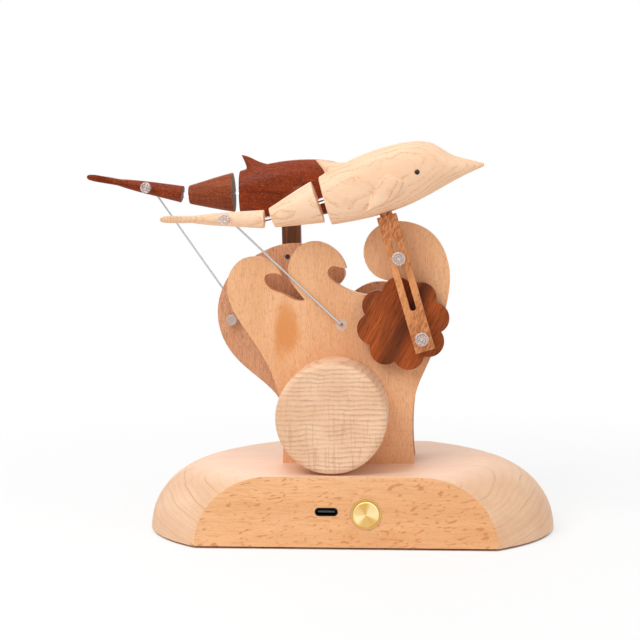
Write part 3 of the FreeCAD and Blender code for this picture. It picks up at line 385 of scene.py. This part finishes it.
def plain(name, colour, rough, metal=0.0, **more):
    t = Tree(name)
    g = t.grain()
    speckle = t.noise(t.stretch(g, 0.9, 0.9, 0.9), 1.0, 2.0, 0.5)
    shade = t.mix(t.times(speckle, 0.14), colour, tuple(c * 0.7 for c in colour[:3]) + (1.0,))
    t.surface(Base_Color=shade, Roughness=rough, Metallic=metal, **more)
    return t.mat


def spun_brass(name, x, z):
    """Brass turned on a lathe: fine circles about the button's axis, with conic highlights painted into its
    colour.
    """
    t = Tree(name)
    g = t.grain(shift=(x, 0.0, z))
    sep = t.parts(g)
    radius = t.math("SQRT", t.plus(t.times(sep[0], sep[0]), t.times(sep[2], sep[2])))
    circles = t.math("SINE", t.times(radius, 30.0))
    flat = t.add("CombineXYZ", {0: sep[2], 2: t.times(sep[0], -1.0)})
    tangent = t.add("VectorMath", {0: flat.outputs[0]}, operation="NORMALIZE").outputs[0]
    turn = t.math("ARCTAN2", sep[2], sep[0])
    painted_highlight_fan = t.math("SINE", t.plus(t.times(turn, 2.0), 0.9))
    painted_highlight_fan = t.plus(painted_highlight_fan, t.times(t.math("SINE", t.plus(t.times(turn, 5.0), 2.2)), 0.4))
    # painted highlight: bright and darker wedges about the axis, set in the base colour
    colour = t.mix(t.between(painted_highlight_fan, -1.2, 1.3), linear(228, 180, 100), linear(255, 232, 172))
    t.surface(Base_Color=colour, Roughness=0.34, Metallic=0.85, Anisotropic=0.75,
              Tangent=tangent, Normal=t.bump(circles, 0.05, 0.00002))
    return t.mat


def clear(name, tint=(1.0, 1.0, 1.0, 1.0), rough=0.06, through=1.0):
    t = Tree(name)
    g = t.grain()
    haze = t.noise(t.stretch(g, 1.5, 1.5, 1.5), 1.0, 2.0, 0.5)
    r = t.add("MapRange", {0: haze, 3: rough, 4: rough + 0.08}).outputs[0]
    t.surface(Base_Color=tint, Roughness=r, IOR=1.47, Transmission_Weight=through, Specular_IOR_Level=0.5)
    return t.mat


M = {
    "base_beech": ringed_base("base_wood"),
    "plate_front": beech("plate_wood_front",
                         linear(244, 190, 144), linear(235, 176, 128), linear(190, 126, 84),
                         (0, 90, 0), (3, 0, 5), patch=heat_patch, dash=0.44, rays=0.3),
    "plate_rear": beech("plate_wood_rear", linear(238, 182, 142), linear(222, 162, 122), linear(150, 94, 66),
                        (0, 90, 0), (40, 20, 15), dash=0.5, fibre=0.26, rays=0.4),
    "drum": end_grain("drum_end_grain"),
    "disc_front": figured("disc_wood_front", linear(184, 91, 38), linear(132, 63, 27), linear(70, 30, 14),
                          (0, 62, 0), (front_crank_x, 0, crank_z), ribbon=0.09, threads=0.45,
                          extra=disc_band_and_lever_shadow),
    "disc_rear": figured("disc_wood_rear", linear(176, 92, 48), linear(122, 60, 32), linear(70, 32, 18),
                         (0, 40, 0), (rear_crank_x, 0, crank_z), ribbon=0.10),
    "front_lever_wood": figured("lever_wood",
                                linear(232, 162, 107), linear(214, 142, 90), linear(140, 78, 42),
                                (0, 90 - front_lean, 0), (25, 0, 96), ribbon=0.25, pore_size=(1.6, 0.26),
                                rough=0.5, extra=lever_stripes),
    "rear_lever_walnut": figured("lever_walnut", linear(122, 76, 48), linear(86, 50, 31), linear(44, 24, 16),
                                 (0, 90 - rear_lean, 0), (5, 0, 0), ribbon=0.5, pore_size=(6.0, 0.3),
                                 rough=0.5),
    "brass": plain("brass_plain", linear(226, 186, 112), 0.3, 1.0),
    "button": spun_brass("brass_spun_painted_highlight", 8.2, 14.0),
    "steel": plain("steel", linear(206, 206, 208), 0.28, 1.0),
    "dark_end": plain("dark_pin_end", linear(40, 32, 30), 0.5),
    "nylon": plain("nylon_tan", linear(200, 154, 126), 0.45),
    "black": plain("black_plastic", linear(26, 26, 27), 0.45),
    "socket_black": plain("black_shell", linear(30, 30, 32), 0.3, 0.6),
    "socket_inside": plain("dark_inside", linear(66, 68, 70), 0.5),
    "board": plain("board_green", linear(38, 96, 62), 0.4),
    "cell": plain("cell_film", linear(168, 172, 178), 0.35),
    "ply": beech("cover_ply", linear(214, 176, 132), linear(198, 158, 114), linear(160, 116, 78), (0, 0, 0)),
    "pad": plain("pad_rubber", linear(74, 44, 32), 0.85),
    "clear": clear("clear_plastic", (0.97, 0.88, 0.83, 1.0), 0.16, 0.66),
    "milky": clear("milky_plastic", linear(236, 204, 182), 0.3, 0.15),
    "clear_cord": clear("clear_cord", rough=0.02),
    "eye": plain("eye_black", linear(10, 10, 11), 0.12, Coat_Weight=0.25, Coat_Roughness=0.04,
                 Specular_IOR_Level=0.3),
}
M["pale_front"] = pale_wood("pale_wood", (0, -front_lean, 0), (46, -dolphin_y, 146))
M["red_rear"] = figured("red_wood", linear(150, 59, 23), linear(110, 40, 14), linear(58, 20, 9),
                        (0, -6, 0), (-12, dolphin_y, 143), ribbon=0.10, pore_size=(2.2, 0.3), pores=0.4,
                        rough=0.42, coat=0.12, gloss=0.05, extra=red_grain)
M["red_waist"] = figured("red_wood_waist", linear(160, 82, 50), linear(128, 60, 36), linear(68, 28, 17),
                         (0, 3.0, 0), (-52.4, dolphin_y, 142.03), ribbon=0.10, pore_size=(2.2, 0.3),
                         pores=0.4, rough=0.45, coat=0.03, gloss=0.06,
                         extra=end_face(red_grain, linear(154, 122, 102), 1.0, -1.85))


# Mesh helpers. Sizes in the helpers are in mm, in the frame of the whole object.
def finish_mesh(name, mesh, body, material, replaced=()):
    """The piece of a mesh: its object, material, body and the CAD nodes that it stands for."""
    obj = bpy.data.objects.new(name, mesh)
    bpy.context.scene.collection.objects.link(obj)
    mesh.materials.clear()
    mesh.materials.append(material)
    mesh.shade_smooth()
    if body:
        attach(obj, body)
    if replaced:
        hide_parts(*replaced)
    return obj


def mesh_from(name, verts, faces):
    mesh = bpy.data.meshes.new(name)
    mesh.from_pydata([tuple(float(c) * MM for c in v) for v in verts], [], faces)
    mesh.validate()
    bm = bmesh.new()
    bm.from_mesh(mesh)
    bmesh.ops.recalc_face_normals(bm, faces=bm.faces)
    bm.to_mesh(mesh)
    bm.free()
    return mesh


def sharp_by_angle(mesh, degrees=32.0):
    bm = bmesh.new()
    bm.from_mesh(mesh)
    for e in bm.edges:
        e.smooth = len(e.link_faces) == 2 and e.calc_face_angle(0.0) < math.radians(degrees)
    bm.to_mesh(mesh)
    bm.free()


def eased(node, width, material, segments=3, least_angle=30.0, keep=None):
    """A copy of a CAD node with its sharp edges eased by a small round, standing in for the node."""
    bm = bmesh.new()
    bm.from_mesh(nodes[node].data)
    bmesh.ops.remove_doubles(bm, verts=bm.verts, dist=2e-6)
    bmesh.ops.dissolve_limit(bm, angle_limit=math.radians(0.4), verts=bm.verts, edges=bm.edges,
                             use_dissolve_boundaries=False, delimit=set())
    least = math.radians(least_angle)
    sharp = [e for e in bm.edges if len(e.link_faces) == 2 and e.calc_face_angle(0.0) > least]
    if keep:
        sharp = [e for e in sharp if keep((e.verts[0].co + e.verts[1].co) / 2 / MM)]
    bmesh.ops.bevel(bm, geom=sharp, offset=width * MM, offset_type="OFFSET", segments=segments, profile=0.5,
                    affect="EDGES", clamp_overlap=True)
    mesh = bpy.data.meshes.new(node + "_shown")
    bm.to_mesh(mesh)
    bm.free()
    obj = finish_mesh(node + "_shown", mesh, bodies_of[node], material, (node,))
    sharp_by_angle(mesh, 42.0)
    weighted = obj.modifiers.new("normals", "WEIGHTED_NORMAL")
    weighted.keep_sharp = True


def spline(points, count):
    """count + 1 points along the smooth curve through the given points."""
    p = np.array(points, float)
    t = np.concatenate([[0], np.cumsum(np.linalg.norm(np.diff(p, axis=0), axis=1))])
    n = len(p)
    h = np.diff(t)
    a = np.zeros((n, n))
    b = np.zeros(p.shape)
    a[0, 0] = a[-1, -1] = 1.0
    for i in range(1, n - 1):
        a[i, i - 1:i + 2] = (h[i - 1], 2 * (h[i - 1] + h[i]), h[i])
        b[i] = 6 * ((p[i + 1] - p[i]) / h[i] - (p[i] - p[i - 1]) / h[i - 1])
    m = np.linalg.solve(a, b)
    u = np.linspace(0, t[-1], count + 1)
    k = np.clip(np.searchsorted(t, u, side="right") - 1, 0, n - 2)
    d = (u - t[k])[:, None]
    hk = h[k][:, None]
    return (p[k] + d * ((p[k + 1] - p[k]) / hk - hk * (2 * m[k] + m[k + 1]) / 6)
            + d ** 2 * m[k] / 2 + d ** 3 * (m[k + 1] - m[k]) / (6 * hk))


def height(points, x):
    """Height at x of the smooth curve through (x, height) points."""
    line = spline(points, 400)
    return float(np.interp(x, line[:, 0], line[:, 1]))


def grid_solid(rings):
    """Vertices and faces of a closed tube through rings that have the same number of points."""
    verts = [tuple(v) for ring in rings for v in ring]
    n = len(rings[0])
    faces = []
    for r in range(len(rings) - 1):
        for i in range(n):
            j = (i + 1) % n
            faces.append((r * n + i, r * n + j, (r + 1) * n + j, (r + 1) * n + i))
    last = (len(rings) - 1) * n
    faces.append(tuple(range(n)))
    faces.append(tuple(last + i for i in reversed(range(n))))
    return verts, faces


def turned_shape(profile, x, z, count=64):
    """A shape turned about a line along Y through (x, z), from (radius, y) points."""
    angles = [2 * math.pi * i / count for i in range(count)]
    return grid_solid([[(x + r * math.cos(a), y, z + r * math.sin(a)) for a in angles] for r, y in profile])


def moulded(name, parts, voxel, rounds):
    """One smooth solid from overlapping closed meshes, rebuilt on a fine grid and smoothed."""
    scene = bpy.context.scene
    verts, faces = [], []
    for v, f in parts:
        start = len(verts)
        verts += list(v)
        faces += [tuple(start + i for i in face) for face in f]
    mesh = bpy.data.meshes.new(name + "_rough")
    mesh.from_pydata([tuple(float(c) * MM for c in v) for v in verts], [], faces)
    bm = bmesh.new()
    bm.from_mesh(mesh)
    bmesh.ops.recalc_face_normals(bm, faces=bm.faces)
    bm.to_mesh(mesh)
    bm.free()
    obj = bpy.data.objects.new(name + "_rough", mesh)
    scene.collection.objects.link(obj)
    grid = obj.modifiers.new("grid", "REMESH")
    grid.mode = "VOXEL"
    grid.voxel_size = voxel * MM
    soft = obj.modifiers.new("soft", "SMOOTH")
    soft.factor = 0.5
    soft.iterations = rounds
    dg = bpy.context.evaluated_depsgraph_get()
    made = bpy.data.meshes.new_from_object(obj.evaluated_get(dg))
    made.name = name
    bpy.data.objects.remove(obj)
    return made


def place(points, x, z, degrees, y):
    """Points of an upright part (x, y from its middle, z) set at (x, z), turned to the left by degrees."""
    a = math.radians(degrees)
    c, s = math.cos(a), math.sin(a)
    return [(x + p[0] * c - p[2] * s, y + p[1], z + p[0] * s + p[2] * c) for p in points]


# Plates, base, drum, discs and levers keep the CAD shape with eased edges
def base_edge(c):
    """The base's outer edges, without its underside, pocket, socket and button hole."""
    in_sockets = abs(c.x) < 18 and c.y < -42 and c.z < 22
    return c.z > 1.2 and (abs(c.y) > base_front - 0.2 or c.z < 6) and not in_sockets and abs(c.y) > 20


def above_base(c):
    return c.z > 28.8


eased("base_block", 0.9, M["base_beech"], segments=4, least_angle=24.0, keep=base_edge)
for side_name in ("front", "rear"):
    eased(side_name + "_wave_plate", 0.55, M["plate_" + side_name], keep=above_base)
eased("motor_housing", 0.3, M["drum"])
for side_name in ("front", "rear"):
    eased(side_name + "_crank_disc", 0.35, M["disc_" + side_name])
eased("front_lever", 0.22, M["front_lever_wood"], segments=2)
eased("rear_lever", 0.22, M["rear_lever_walnut"], segments=2)
eased("brass_button", 0.12, M["button"], segments=2)

# Dolphins: heights and width shares of the upright body over the crank pin
underside = ((-26.0, 54.9), (-14.0, 53.4), (-2.0, 52.8), (13.0, 53.9), (27.0, 57.0), (38.5, 59.3),
             (43.2, 59.9))
back = ((-26.0, 73.4), (-15.0, 76.1), (-2.0, 78.3), (9.0, 78.7), (19.0, 77.6), (26.0, 74.6), (32.0, 68.3),
        (38.0, 64.5), (43.2, 61.4))
share = ((-26.0, 0.86), (-13.0, 0.97), (2.0, 1.0), (18.0, 0.95), (28.0, 0.74), (35.0, 0.46), (43.2, 0.13))
half_width = 7.2
rear_face, snout = -22.3, 42.4


def oval(x, low, high, half, count=72):
    middle = (low + high) / 2.0
    tall = (high - low) / 2.0
    return [(x, half * math.cos(2 * math.pi * i / count), middle + tall * math.sin(2 * math.pi * i / count))
            for i in range(count)]


def body_rings():
    """The body's cross sections from its flat rear face to the rounded tip of the snout."""
    def section(x):
        return height(underside, x), height(back, x), half_width * height(share, x)

    rings = [oval(x, *section(x)) for x in np.linspace(rear_face, snout, 110)]
    low, high, wide = section(snout)
    middle = (low + high) / 2.0 - 0.15
    for k in range(1, 7):
        a = math.radians(90.0 * k / 6.5)
        s = math.cos(a)
        bottom, top = middle + (low - middle) * s, middle + (high - middle) * s
        rings.append(oval(snout + 1.25 * math.sin(a), bottom, top, wide * s))
    return rings


def dorsal_fin():
    """The fin: thick where it leaves the back and thin at its swept tip."""
    back_edge = spline([(-19.2, 73.5), (-19.4, 75.8), (-20.2, 78.2), (-21.6, 81.4)], 14)
    crest = spline([(-21.6, 81.4), (-19.2, 80.9), (-15.4, 79.1), (-11.2, 77.4), (-6.0, 76.8)], 22)
    rings = []
    for s in np.linspace(0, 1, 26):
        k = s * (len(back_edge) - 1)
        i = min(int(k), len(back_edge) - 2)
        rear = back_edge[i] + (back_edge[i + 1] - back_edge[i]) * (k - i)
        k = (1 - s) * (len(crest) - 1)
        i = min(int(k), len(crest) - 2)
        fore = crest[i] + (crest[i + 1] - crest[i]) * (k - i)
        wide = 2.3 * (1 - s) ** 1.35 + 0.62
        middle = (rear + fore) / 2
        along = (fore - rear) / 2
        ring = []
        for c in range(24):
            a = 2 * math.pi * c / 24
            p = middle + along * math.cos(a)
            ring.append((p[0], wide * math.sin(a) * (1.0 - 0.25 * math.cos(a)), p[1]))
        rings.append(ring)
    return grid_solid(rings)


def flipper(hand):
    """A broad leaf that swells out of the flank and sweeps down and back to a free tip."""
    upper = spline([(4.0, 68.0), (0.6, 66.8), (-1.6, 64.4), (-3.0, 61.2), (-5.3, 57.9), (-7.4, 55.4)], 30)
    lower = spline([(11.5, 61.5), (8.4, 58.8), (5.0, 57.2), (0.5, 56.2), (-3.4, 55.5), (-7.4, 55.2)], 30)
    rings = []
    for k in range(31):
        s = k / 30.0
        middle = (upper[k] + lower[k]) / 2
        half = (upper[k] - lower[k]) / 2
        out = 5.2 + 1.7 * s
        thick = 2.5 * (1 - s) ** 1.3 + 0.55
        ring = []
        for c in range(28):
            a = 2 * math.pi * c / 28
            p = middle + half * 0.98 * math.cos(a)
            ring.append((p[0], hand * (out + thick * math.sin(a)), p[1]))
        rings.append(ring)
    return grid_solid(rings)


def flukes(y_half, end):
    """Flat flukes: a crescent with a notch, thin at its edges."""
    root = end + 17.0
    right = spline([(root, 1.6), (end + 12.5, 3.6), (end + 7.4, y_half * 0.52), (end + 2.6, y_half * 0.86),
                    (end, y_half)], 24)
    inner = spline([(end, y_half), (end + 1.2, y_half * 0.72), (end + 3.0, y_half * 0.36),
                    (end + 5.0, 0.0)], 16)
    half = [tuple(p) for p in right] + [tuple(p) for p in inner[1:]]
    outline = half + [(x, -y) for x, y in reversed(half[:-1])]
    layers = ((0.0, 1.0), (0.75, 0.96), (1.25, 0.84), (1.5, 0.55))
    ring_sets = []
    for sign in (1, -1):
        for lift, shrink in layers:
            if sign == -1 and lift == 0.0:
                continue
            ring = []
            for x, y in outline:
                # shrinks towards the crescent's own middle line, not towards its centre
                part = min(1.0, abs(y) / y_half)
                mid_x = end + 5.0 + (root - end - 9.0) * (1 - part) * 0.5 + 1.5 * (abs(y) / y_half)
                ring.append((mid_x + (x - mid_x) * shrink, y * (0.5 + 0.5 * shrink), 0.2 + sign * lift))
            ring_sets.append((sign, ring))
    top = [r for s, r in ring_sets if s == 1]
    bottom = [r for s, r in ring_sets if s == -1]
    rings = list(reversed(bottom)) + top
    return grid_solid(rings)


def chain(crank_x, angle, waist_turn, tail_turn):
    """Places and leans of one side's linkage at rest, from its crank's angle and its joints' turns."""
    a = math.radians(angle)
    pin = (crank_x + crank_throw * math.cos(a), crank_z + crank_throw * math.sin(a))
    guide = (crank_x + guide_step[0], crank_z + guide_step[1])
    lean = math.degrees(math.atan2(pin[0] - guide[0], guide[1] - pin[1]))

    def step(dx, dz, turn, x, z):
        t = math.radians(turn)
        return (x + dx * math.cos(t) - dz * math.sin(t), z + dx * math.sin(t) + dz * math.cos(t))

    waist = step(*waist_step, lean, *pin)
    waist_lean = lean - waist_turn
    tail = step(tail_step, 0, waist_lean, *waist)
    tail_lean = waist_lean - tail_turn
    return {"pin": pin, "guide": guide, "lean": lean, "waist": waist, "waist_lean": waist_lean, "tail": tail,
            "tail_lean": tail_lean, "tail_pin": step(tail_pin_step, 0, tail_lean, *tail)}


least_radius = 0.002    # a turned shape closes with a tiny disc at its axis


def cap_profile(radius, start, height_, side):
    """A turned clear cap: rings cut in its face and a rounded rim."""
    y = lambda h: side * (start + h)
    foot, rim = 0.25, 0.6
    points = [(0.0, y(0.0)), (radius - foot, y(0.0)), (radius, y(foot))]
    for k in range(6):
        a = math.radians(90.0 * k / 5)
        points.append((radius - rim + rim * math.cos(a), y(height_ - rim + rim * math.sin(a))))
    steps = ((0.74, 0.0), (0.68, -0.34), (0.56, -0.34), (0.50, 0.0), (0.42, 0.0),
             (0.36, -0.30), (0.27, -0.30), (0.21, 0.0), (0.14, 0.0), (0.08, -0.12))
    for share_, drop in steps:
        points.append((radius * share_, y(height_ + drop)))
    points.append((0.0, y(height_ - 0.12)))
    return points


def cap(name, x, z, radius, start, height_, side, body, replaced):
    """A clear cap on a pin's end."""
    profile = [(max(r, least_radius), y) for r, y in cap_profile(radius, start, height_, side)]
    mesh = mesh_from(name, *turned_shape(profile, x, z, 48))
    finish_mesh(name, mesh, body, M["clear"], replaced)
    sharp_by_angle(mesh, 50.0)


def bar(name, x, z, radius, y0, y1, body, material, slot, replaced=(), ease=0.15):
    """A round pin along Y with eased ends."""
    low, high = min(y0, y1), max(y0, y1)
    profile = [(least_radius, low), (radius - ease, low), (radius, low + ease),
               (radius, high - ease), (radius - ease, high), (least_radius, high)]
    mesh = mesh_from(name, *turned_shape(profile, x, z, 32))
    finish_mesh(name, mesh, body, material, replaced)
    sharp_by_angle(mesh, 30.0)


def tube(name, path, radius, body, material, replaced=(), sides=16):
    """A round bar along a path of points."""
    p = np.array(path, float)
    tangents = np.gradient(p, axis=0)
    tangents /= np.linalg.norm(tangents, axis=1)[:, None]
    u = np.cross(tangents[0], (0.31, 0.2, 0.93))
    u /= np.linalg.norm(u)
    angles = [2 * math.pi * i / sides for i in range(sides)]
    rings = []
    for c, t in zip(p, tangents):
        u = u - t * (u @ t)
        u /= np.linalg.norm(u)
        w = np.cross(t, u)
        rings.append([c + radius * (u * math.cos(a) + w * math.sin(a)) for a in angles])
    verts, faces = grid_solid(rings)
    mesh = mesh_from(name, verts, faces)
    obj = finish_mesh(name, mesh, body, material, replaced)
    sharp_by_angle(mesh, 60.0)
    return obj


def wire_path(anchor, pin, leg_start, plane, leg_end):
    """A wire with both ends bent square: a leg at the anchor, a run in its plane, a leg at the pin."""
    a = np.array([anchor[0], plane, anchor[1]])
    b = np.array([pin[0], plane, pin[1]])
    run = (b - a) / np.linalg.norm(b - a)
    first = np.array([0, 1 if leg_start > plane else -1, 0], float)
    last = np.array([0, 1 if leg_end > plane else -1, 0], float)

    def arc(corner, p, q):
        centre = corner + p + q
        return [centre - q * math.cos(t) - p * math.sin(t) for t in np.linspace(0, math.pi / 2, 9)]

    path = [np.array([anchor[0], y, anchor[1]]) for y in np.linspace(leg_start, plane + first[1], 6)]
    path += arc(a, first, run)[1:]
    path += [a + run + (b - run - a - run) * s for s in np.linspace(0, 1, 24)][1:]
    path += arc(b, -run, last)[1:]
    path += [np.array([pin[0], y, pin[1]]) for y in np.linspace(plane + last[1], leg_end, 6)][1:]
    return path


def dolphin(side_name, places, y, wood, waist_wood):
    pin, lean = places["pin"], places["lean"]
    hand_parts = [grid_solid(body_rings()), dorsal_fin(), flipper(-1), flipper(1)]
    parts = [(place(v, pin[0], pin[1], lean, y), f) for v, f in hand_parts]
    mesh = moulded(side_name + "_body", parts, 0.32, 9)
    finish_mesh(side_name + "_dolphin_body_shown", mesh, side_name + "_dolphin", wood,
                (side_name + "_dolphin_body",))
    # eyes
    verts, faces = [], []
    for hand in (-1, 1):
        bm = bmesh.new()
        bmesh.ops.create_icosphere(bm, subdivisions=4, radius=1.3)
        start = len(verts)
        ball = [(16.7 + v.co.x, hand * 6.1 + v.co.y, 65.0 + v.co.z) for v in bm.verts]
        verts += place(ball, pin[0], pin[1], lean, y)
        faces += [tuple(start + v.index for v in f.verts) for f in bm.faces]
        bm.free()
    mesh = mesh_from(side_name + "_eyes", verts, faces)
    finish_mesh(side_name + "_eyes_shown", mesh, side_name + "_dolphin", M["eye"],
                (side_name + "_dolphin_eyes",))
    # waist
    waist, tail = places["waist"], places["tail"]
    line = spline([(-1.6, -8.8, 8.8, 6.19), (-6.9, -7.6, 7.7, 6.05), (-13.8, -6.0, 6.0, 5.47),
                   (-21.4, -4.1, 4.1, 4.18)], 40)
    rings = [oval(x, low, high, wide, 64) for x, low, high, wide in line]
    verts, faces = grid_solid(rings)
    verts = place(verts, waist[0], waist[1], places["waist_lean"], y)
    mesh = moulded(side_name + "_waist", [(verts, faces)], 0.25, 4)
    finish_mesh(side_name + "_waist_shown", mesh, side_name + "_waist", waist_wood,
                (side_name + "_dolphin_waist",))
    # tail
    line = spline([(-1.6, -3.75, 3.75, 3.6), (-13.2, -3.0, 3.2, 3.06), (-24.2, -2.2, 2.4, 2.2),
                   (-33.0, -1.1, 1.4, 1.9), (-37.5, -0.5, 0.8, 1.2)], 60)
    rings = [oval(x, low, high, wide, 48) for x, low, high, wide in line]
    pieces = (grid_solid(rings), flukes(13.5, -41.8))
    parts = [(place(v, tail[0], tail[1], places["tail_lean"], y), f) for v, f in pieces]
    mesh = moulded(side_name + "_tail", parts, 0.22, 6)
    finish_mesh(side_name + "_tail_shown", mesh, side_name + "_tail", wood,
                (side_name + "_dolphin_tail",))
    # cords
    half_gap, depth = 1.6, 3.0
    for joint, here, lean_a, lean_b, a, b in (
        ("waist", waist, lean, places["waist_lean"], side_name + "_dolphin", side_name + "_waist"),
        ("tail", tail, places["waist_lean"], places["tail_lean"], side_name + "_waist", side_name + "_tail"),
    ):
        t = math.radians((lean_a + lean_b) / 2)
        d = np.array([math.cos(t), 0.0, math.sin(t)])
        middle = np.array([here[0], y, here[1]])
        path = [middle + d * s for s in np.linspace(half_gap + depth, -half_gap - depth, 25)]
        name = side_name + "_" + joint + "_cord_shown"
        node = side_name + "_" + joint + "_cord"
        cord = tube(name, path, 1.1, None, M["clear_cord"], (node,), 24)
        start = (middle + d * half_gap) * MM
        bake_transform(cord)
    # tail pin and its cap
    x, z = places["tail_pin"]
    near, far = y - 3.6, y + 3.6
    bar(side_name + "_tail_pin_shown", x, z, 0.6, near - 2.0, far, side_name + "_tail", M["steel"], "steel")
    cap(side_name + "_tail_cap_shown", x, z, 2.3, -near + 0.1, 2.6, -1, side_name + "_tail",
        (side_name + "_tail_pin",))


front = chain(front_crank_x, -36.5, -3.0, 18.5)
rear = chain(rear_crank_x, -95.0, -1.8, 13.3)
dolphin("front", front, -dolphin_y, M["pale_front"], M["pale_front"])
dolphin("rear", rear, dolphin_y, M["red_rear"], M["red_waist"])

# Crank caps and guide caps
for name, places, side in (("front", front, -1), ("rear", rear, 1)):
    x, z = places["pin"]
    cap(name + "_crank_cap_shown", x, z, 2.8, 26.0, 2.6, side, name + "_dolphin", (name + "_crank_cap",))
    bar(name + "_crank_stem", x, z, 0.8, side * 20.7, side * 27.4, name + "_dolphin", M["steel"], "steel")
    x, z = places["guide"]
    cap(name + "_guide_cap_shown", x, z, 2.8, 26.0, 2.6, side, "base", ("guide_caps",))
    bar(name + "_guide_pin_shown", x, z, 0.8, side * 5.7, side * 27.6, "base", M["steel"], "steel",
        ("guide_pins",))
bar("rear_pin_end", *rear["guide"], 1.05, 5.55, 5.95, "base", M["dark_end"], "steel", ease=0.05)

# Link wires
wire_radius = 0.45
tube("front_wire_shown", wire_path(front_anchor, front["tail_pin"], -8.2, -15.0, -19.3), wire_radius,
     "front_wire", M["steel"], ("front_link_wire",))
tube("rear_wire_shown", wire_path(rear_anchor, rear["tail_pin"], 3.9, 31.4, 27.1), wire_radius,
     "rear_wire", M["steel"], ("rear_link_wire",))

# Finishes of the CAD nodes that are shown as they are
finish_of = {
    "steel": M["steel"], "brass": M["brass"], "clear_plastic": M["clear"], "gear_nylon": M["nylon"],
    "black_plastic": M["black"], "socket_black": M["socket_black"], "board_green": M["board"],
    "cell_film": M["cell"], "cover_ply": M["ply"], "pad_rubber": M["pad"], "plate_beech": M["plate_rear"],
}
slot_of = {s["node"]: s["material_slot"] for s in frame["record"]["subparts"]}
own_finish = {"anchor_bushes": M["milky"], "usb_c_tongue": M["socket_inside"]}
for name, obj in nodes.items():
    if not obj.hide_render:
        obj.data.materials.clear()
        obj.data.materials.append(own_finish.get(name, finish_of[slot_of[name]]))


# Floor, light and camera
def seen_directly(t):
    """1 for camera, mirror and see-through rays."""
    rays = t.add("LightPath").outputs
    return t.math("MAXIMUM", rays["Is Camera Ray"],
                  t.math("MAXIMUM", rays["Is Glossy Ray"], rays["Is Transmission Ray"]))


def stage_floor():
    """A white floor that keeps the object's shadow and is dark only in the low gap under the base."""
    mesh = bpy.data.meshes.new("floor")
    half = 4
    corners = [(-half, -half, 0), (half, -half, 0), (half, half, 0), (-half, half, 0)]
    mesh.from_pydata(corners, [], [(0, 1, 2, 3)])
    floor = bpy.data.objects.new("floor", mesh)
    bpy.context.scene.collection.objects.link(floor)
    t = Tree("floor_white")
    sep = t.parts(t.grain())
    long = t.math("DIVIDE", sep[0], 84.8)
    wide = t.math("DIVIDE", sep[1], 59.6)
    oval_ = t.math("SQRT", t.plus(t.times(long, long), t.times(wide, wide)))
    past_front = t.between(t.math("ABSOLUTE", sep[1]), 41.9, 42.6)
    outside = t.math("MAXIMUM", t.between(oval_, 0.99, 1.004), past_front)
    distance = t.math("SQRT", t.plus(t.times(sep[0], sep[0]), t.times(sep[1], sep[1])))
    share_ = t.plus(0.66, t.times(t.between(distance, 150.0, 380.0), 0.34))
    shaded = t.add("BsdfDiffuse", {"Color": (0.93, 0.93, 0.93, 1.0)})
    glow = t.add("Emission", {"Color": (1, 1, 1, 1), "Strength": 1.0})
    part = t.times(t.times(seen_directly(t), share_), outside)
    mixed = t.add("MixShader", {0: part, 1: shaded.outputs[0], 2: glow.outputs[0]})
    t.finish(mixed)
    mesh.materials.append(t.mat)


def area(name, location, target, size, power):
    """A lamp that the camera doesn't see, aimed at its target. Metres and watts."""
    data = bpy.data.lights.new(name, "AREA")
    data.shape = "RECTANGLE"
    data.size, data.size_y = size
    data.energy = power
    lamp = bpy.data.objects.new(name, data)
    bpy.context.scene.collection.objects.link(lamp)
    lamp.location = location
    lamp.rotation_mode = "QUATERNION"
    lamp.rotation_quaternion = (Vector(target) - Vector(location)).to_track_quat("-Z", "Y")
    lamp.visible_camera = False


def studio_world():
    """White to camera, mirror and see-through rays, and a plain soft light to all others."""
    world = bpy.data.worlds.new("studio")
    bpy.context.scene.world = world
    t = Tree("studio", world)
    white = t.add("Background", {0: (1, 1, 1, 1), 1: 1.0})
    soft = t.add("Background", {0: (1, 1, 1, 1), 1: 0.42})
    t.finish(t.add("MixShader", {0: seen_directly(t), 1: soft.outputs[0], 2: white.outputs[0]}))


stage_floor()
studio_world()
for name, location, target, size, power in (
    ("key", (-0.60, -0.72, 0.95), (0, 0, 0.08), (0.7, 0.7), 7.6),
    ("fill", (0.85, -0.65, 0.45), (0, 0, 0.08), (0.7, 0.7), 2.1),
    ("top", (-0.10, -0.15, 1.15), (0, 0, 0.08), (0.9, 0.6), 3.6),
    ("back", (-0.25, 1.0, 0.6), (0, 0, 0.1), (0.8, 0.6), 2.0),
):
    area(name, location, target, size, power)

# The camera, fitted to the photograph
image_pixels = 640.0
focal_pixels = 1269.3
camera_place = (0.03652, -0.53636, 0.12746)
yaw, pitch, roll = (math.radians(a) for a in (2.461, 1.400, -0.022))
camera_data = bpy.data.cameras.new("camera")
camera_data.sensor_width = 36.0
camera_data.lens = camera_data.sensor_width * focal_pixels / image_pixels
camera_data.shift_x = camera_data.shift_y = -0.10
camera = bpy.data.objects.new("camera", camera_data)
bpy.context.scene.collection.objects.link(camera)
forward = Vector((-math.sin(yaw) * math.cos(pitch), math.cos(yaw) * math.cos(pitch), -math.sin(pitch)))
right = Vector((math.cos(yaw), math.sin(yaw), 0.0))
up = right.cross(forward)
right2 = right * math.cos(roll) + up * math.sin(roll)
up2 = up * math.cos(roll) - right * math.sin(roll)
camera.matrix_world = Matrix((
    (right2.x, up2.x, -forward.x, camera_place[0]),
    (right2.y, up2.y, -forward.y, camera_place[1]),
    (right2.z, up2.z, -forward.z, camera_place[2]),
    (0, 0, 0, 1),
))
bpy.context.scene.camera = camera
bpy.context.scene.view_settings.view_transform = "Standard"
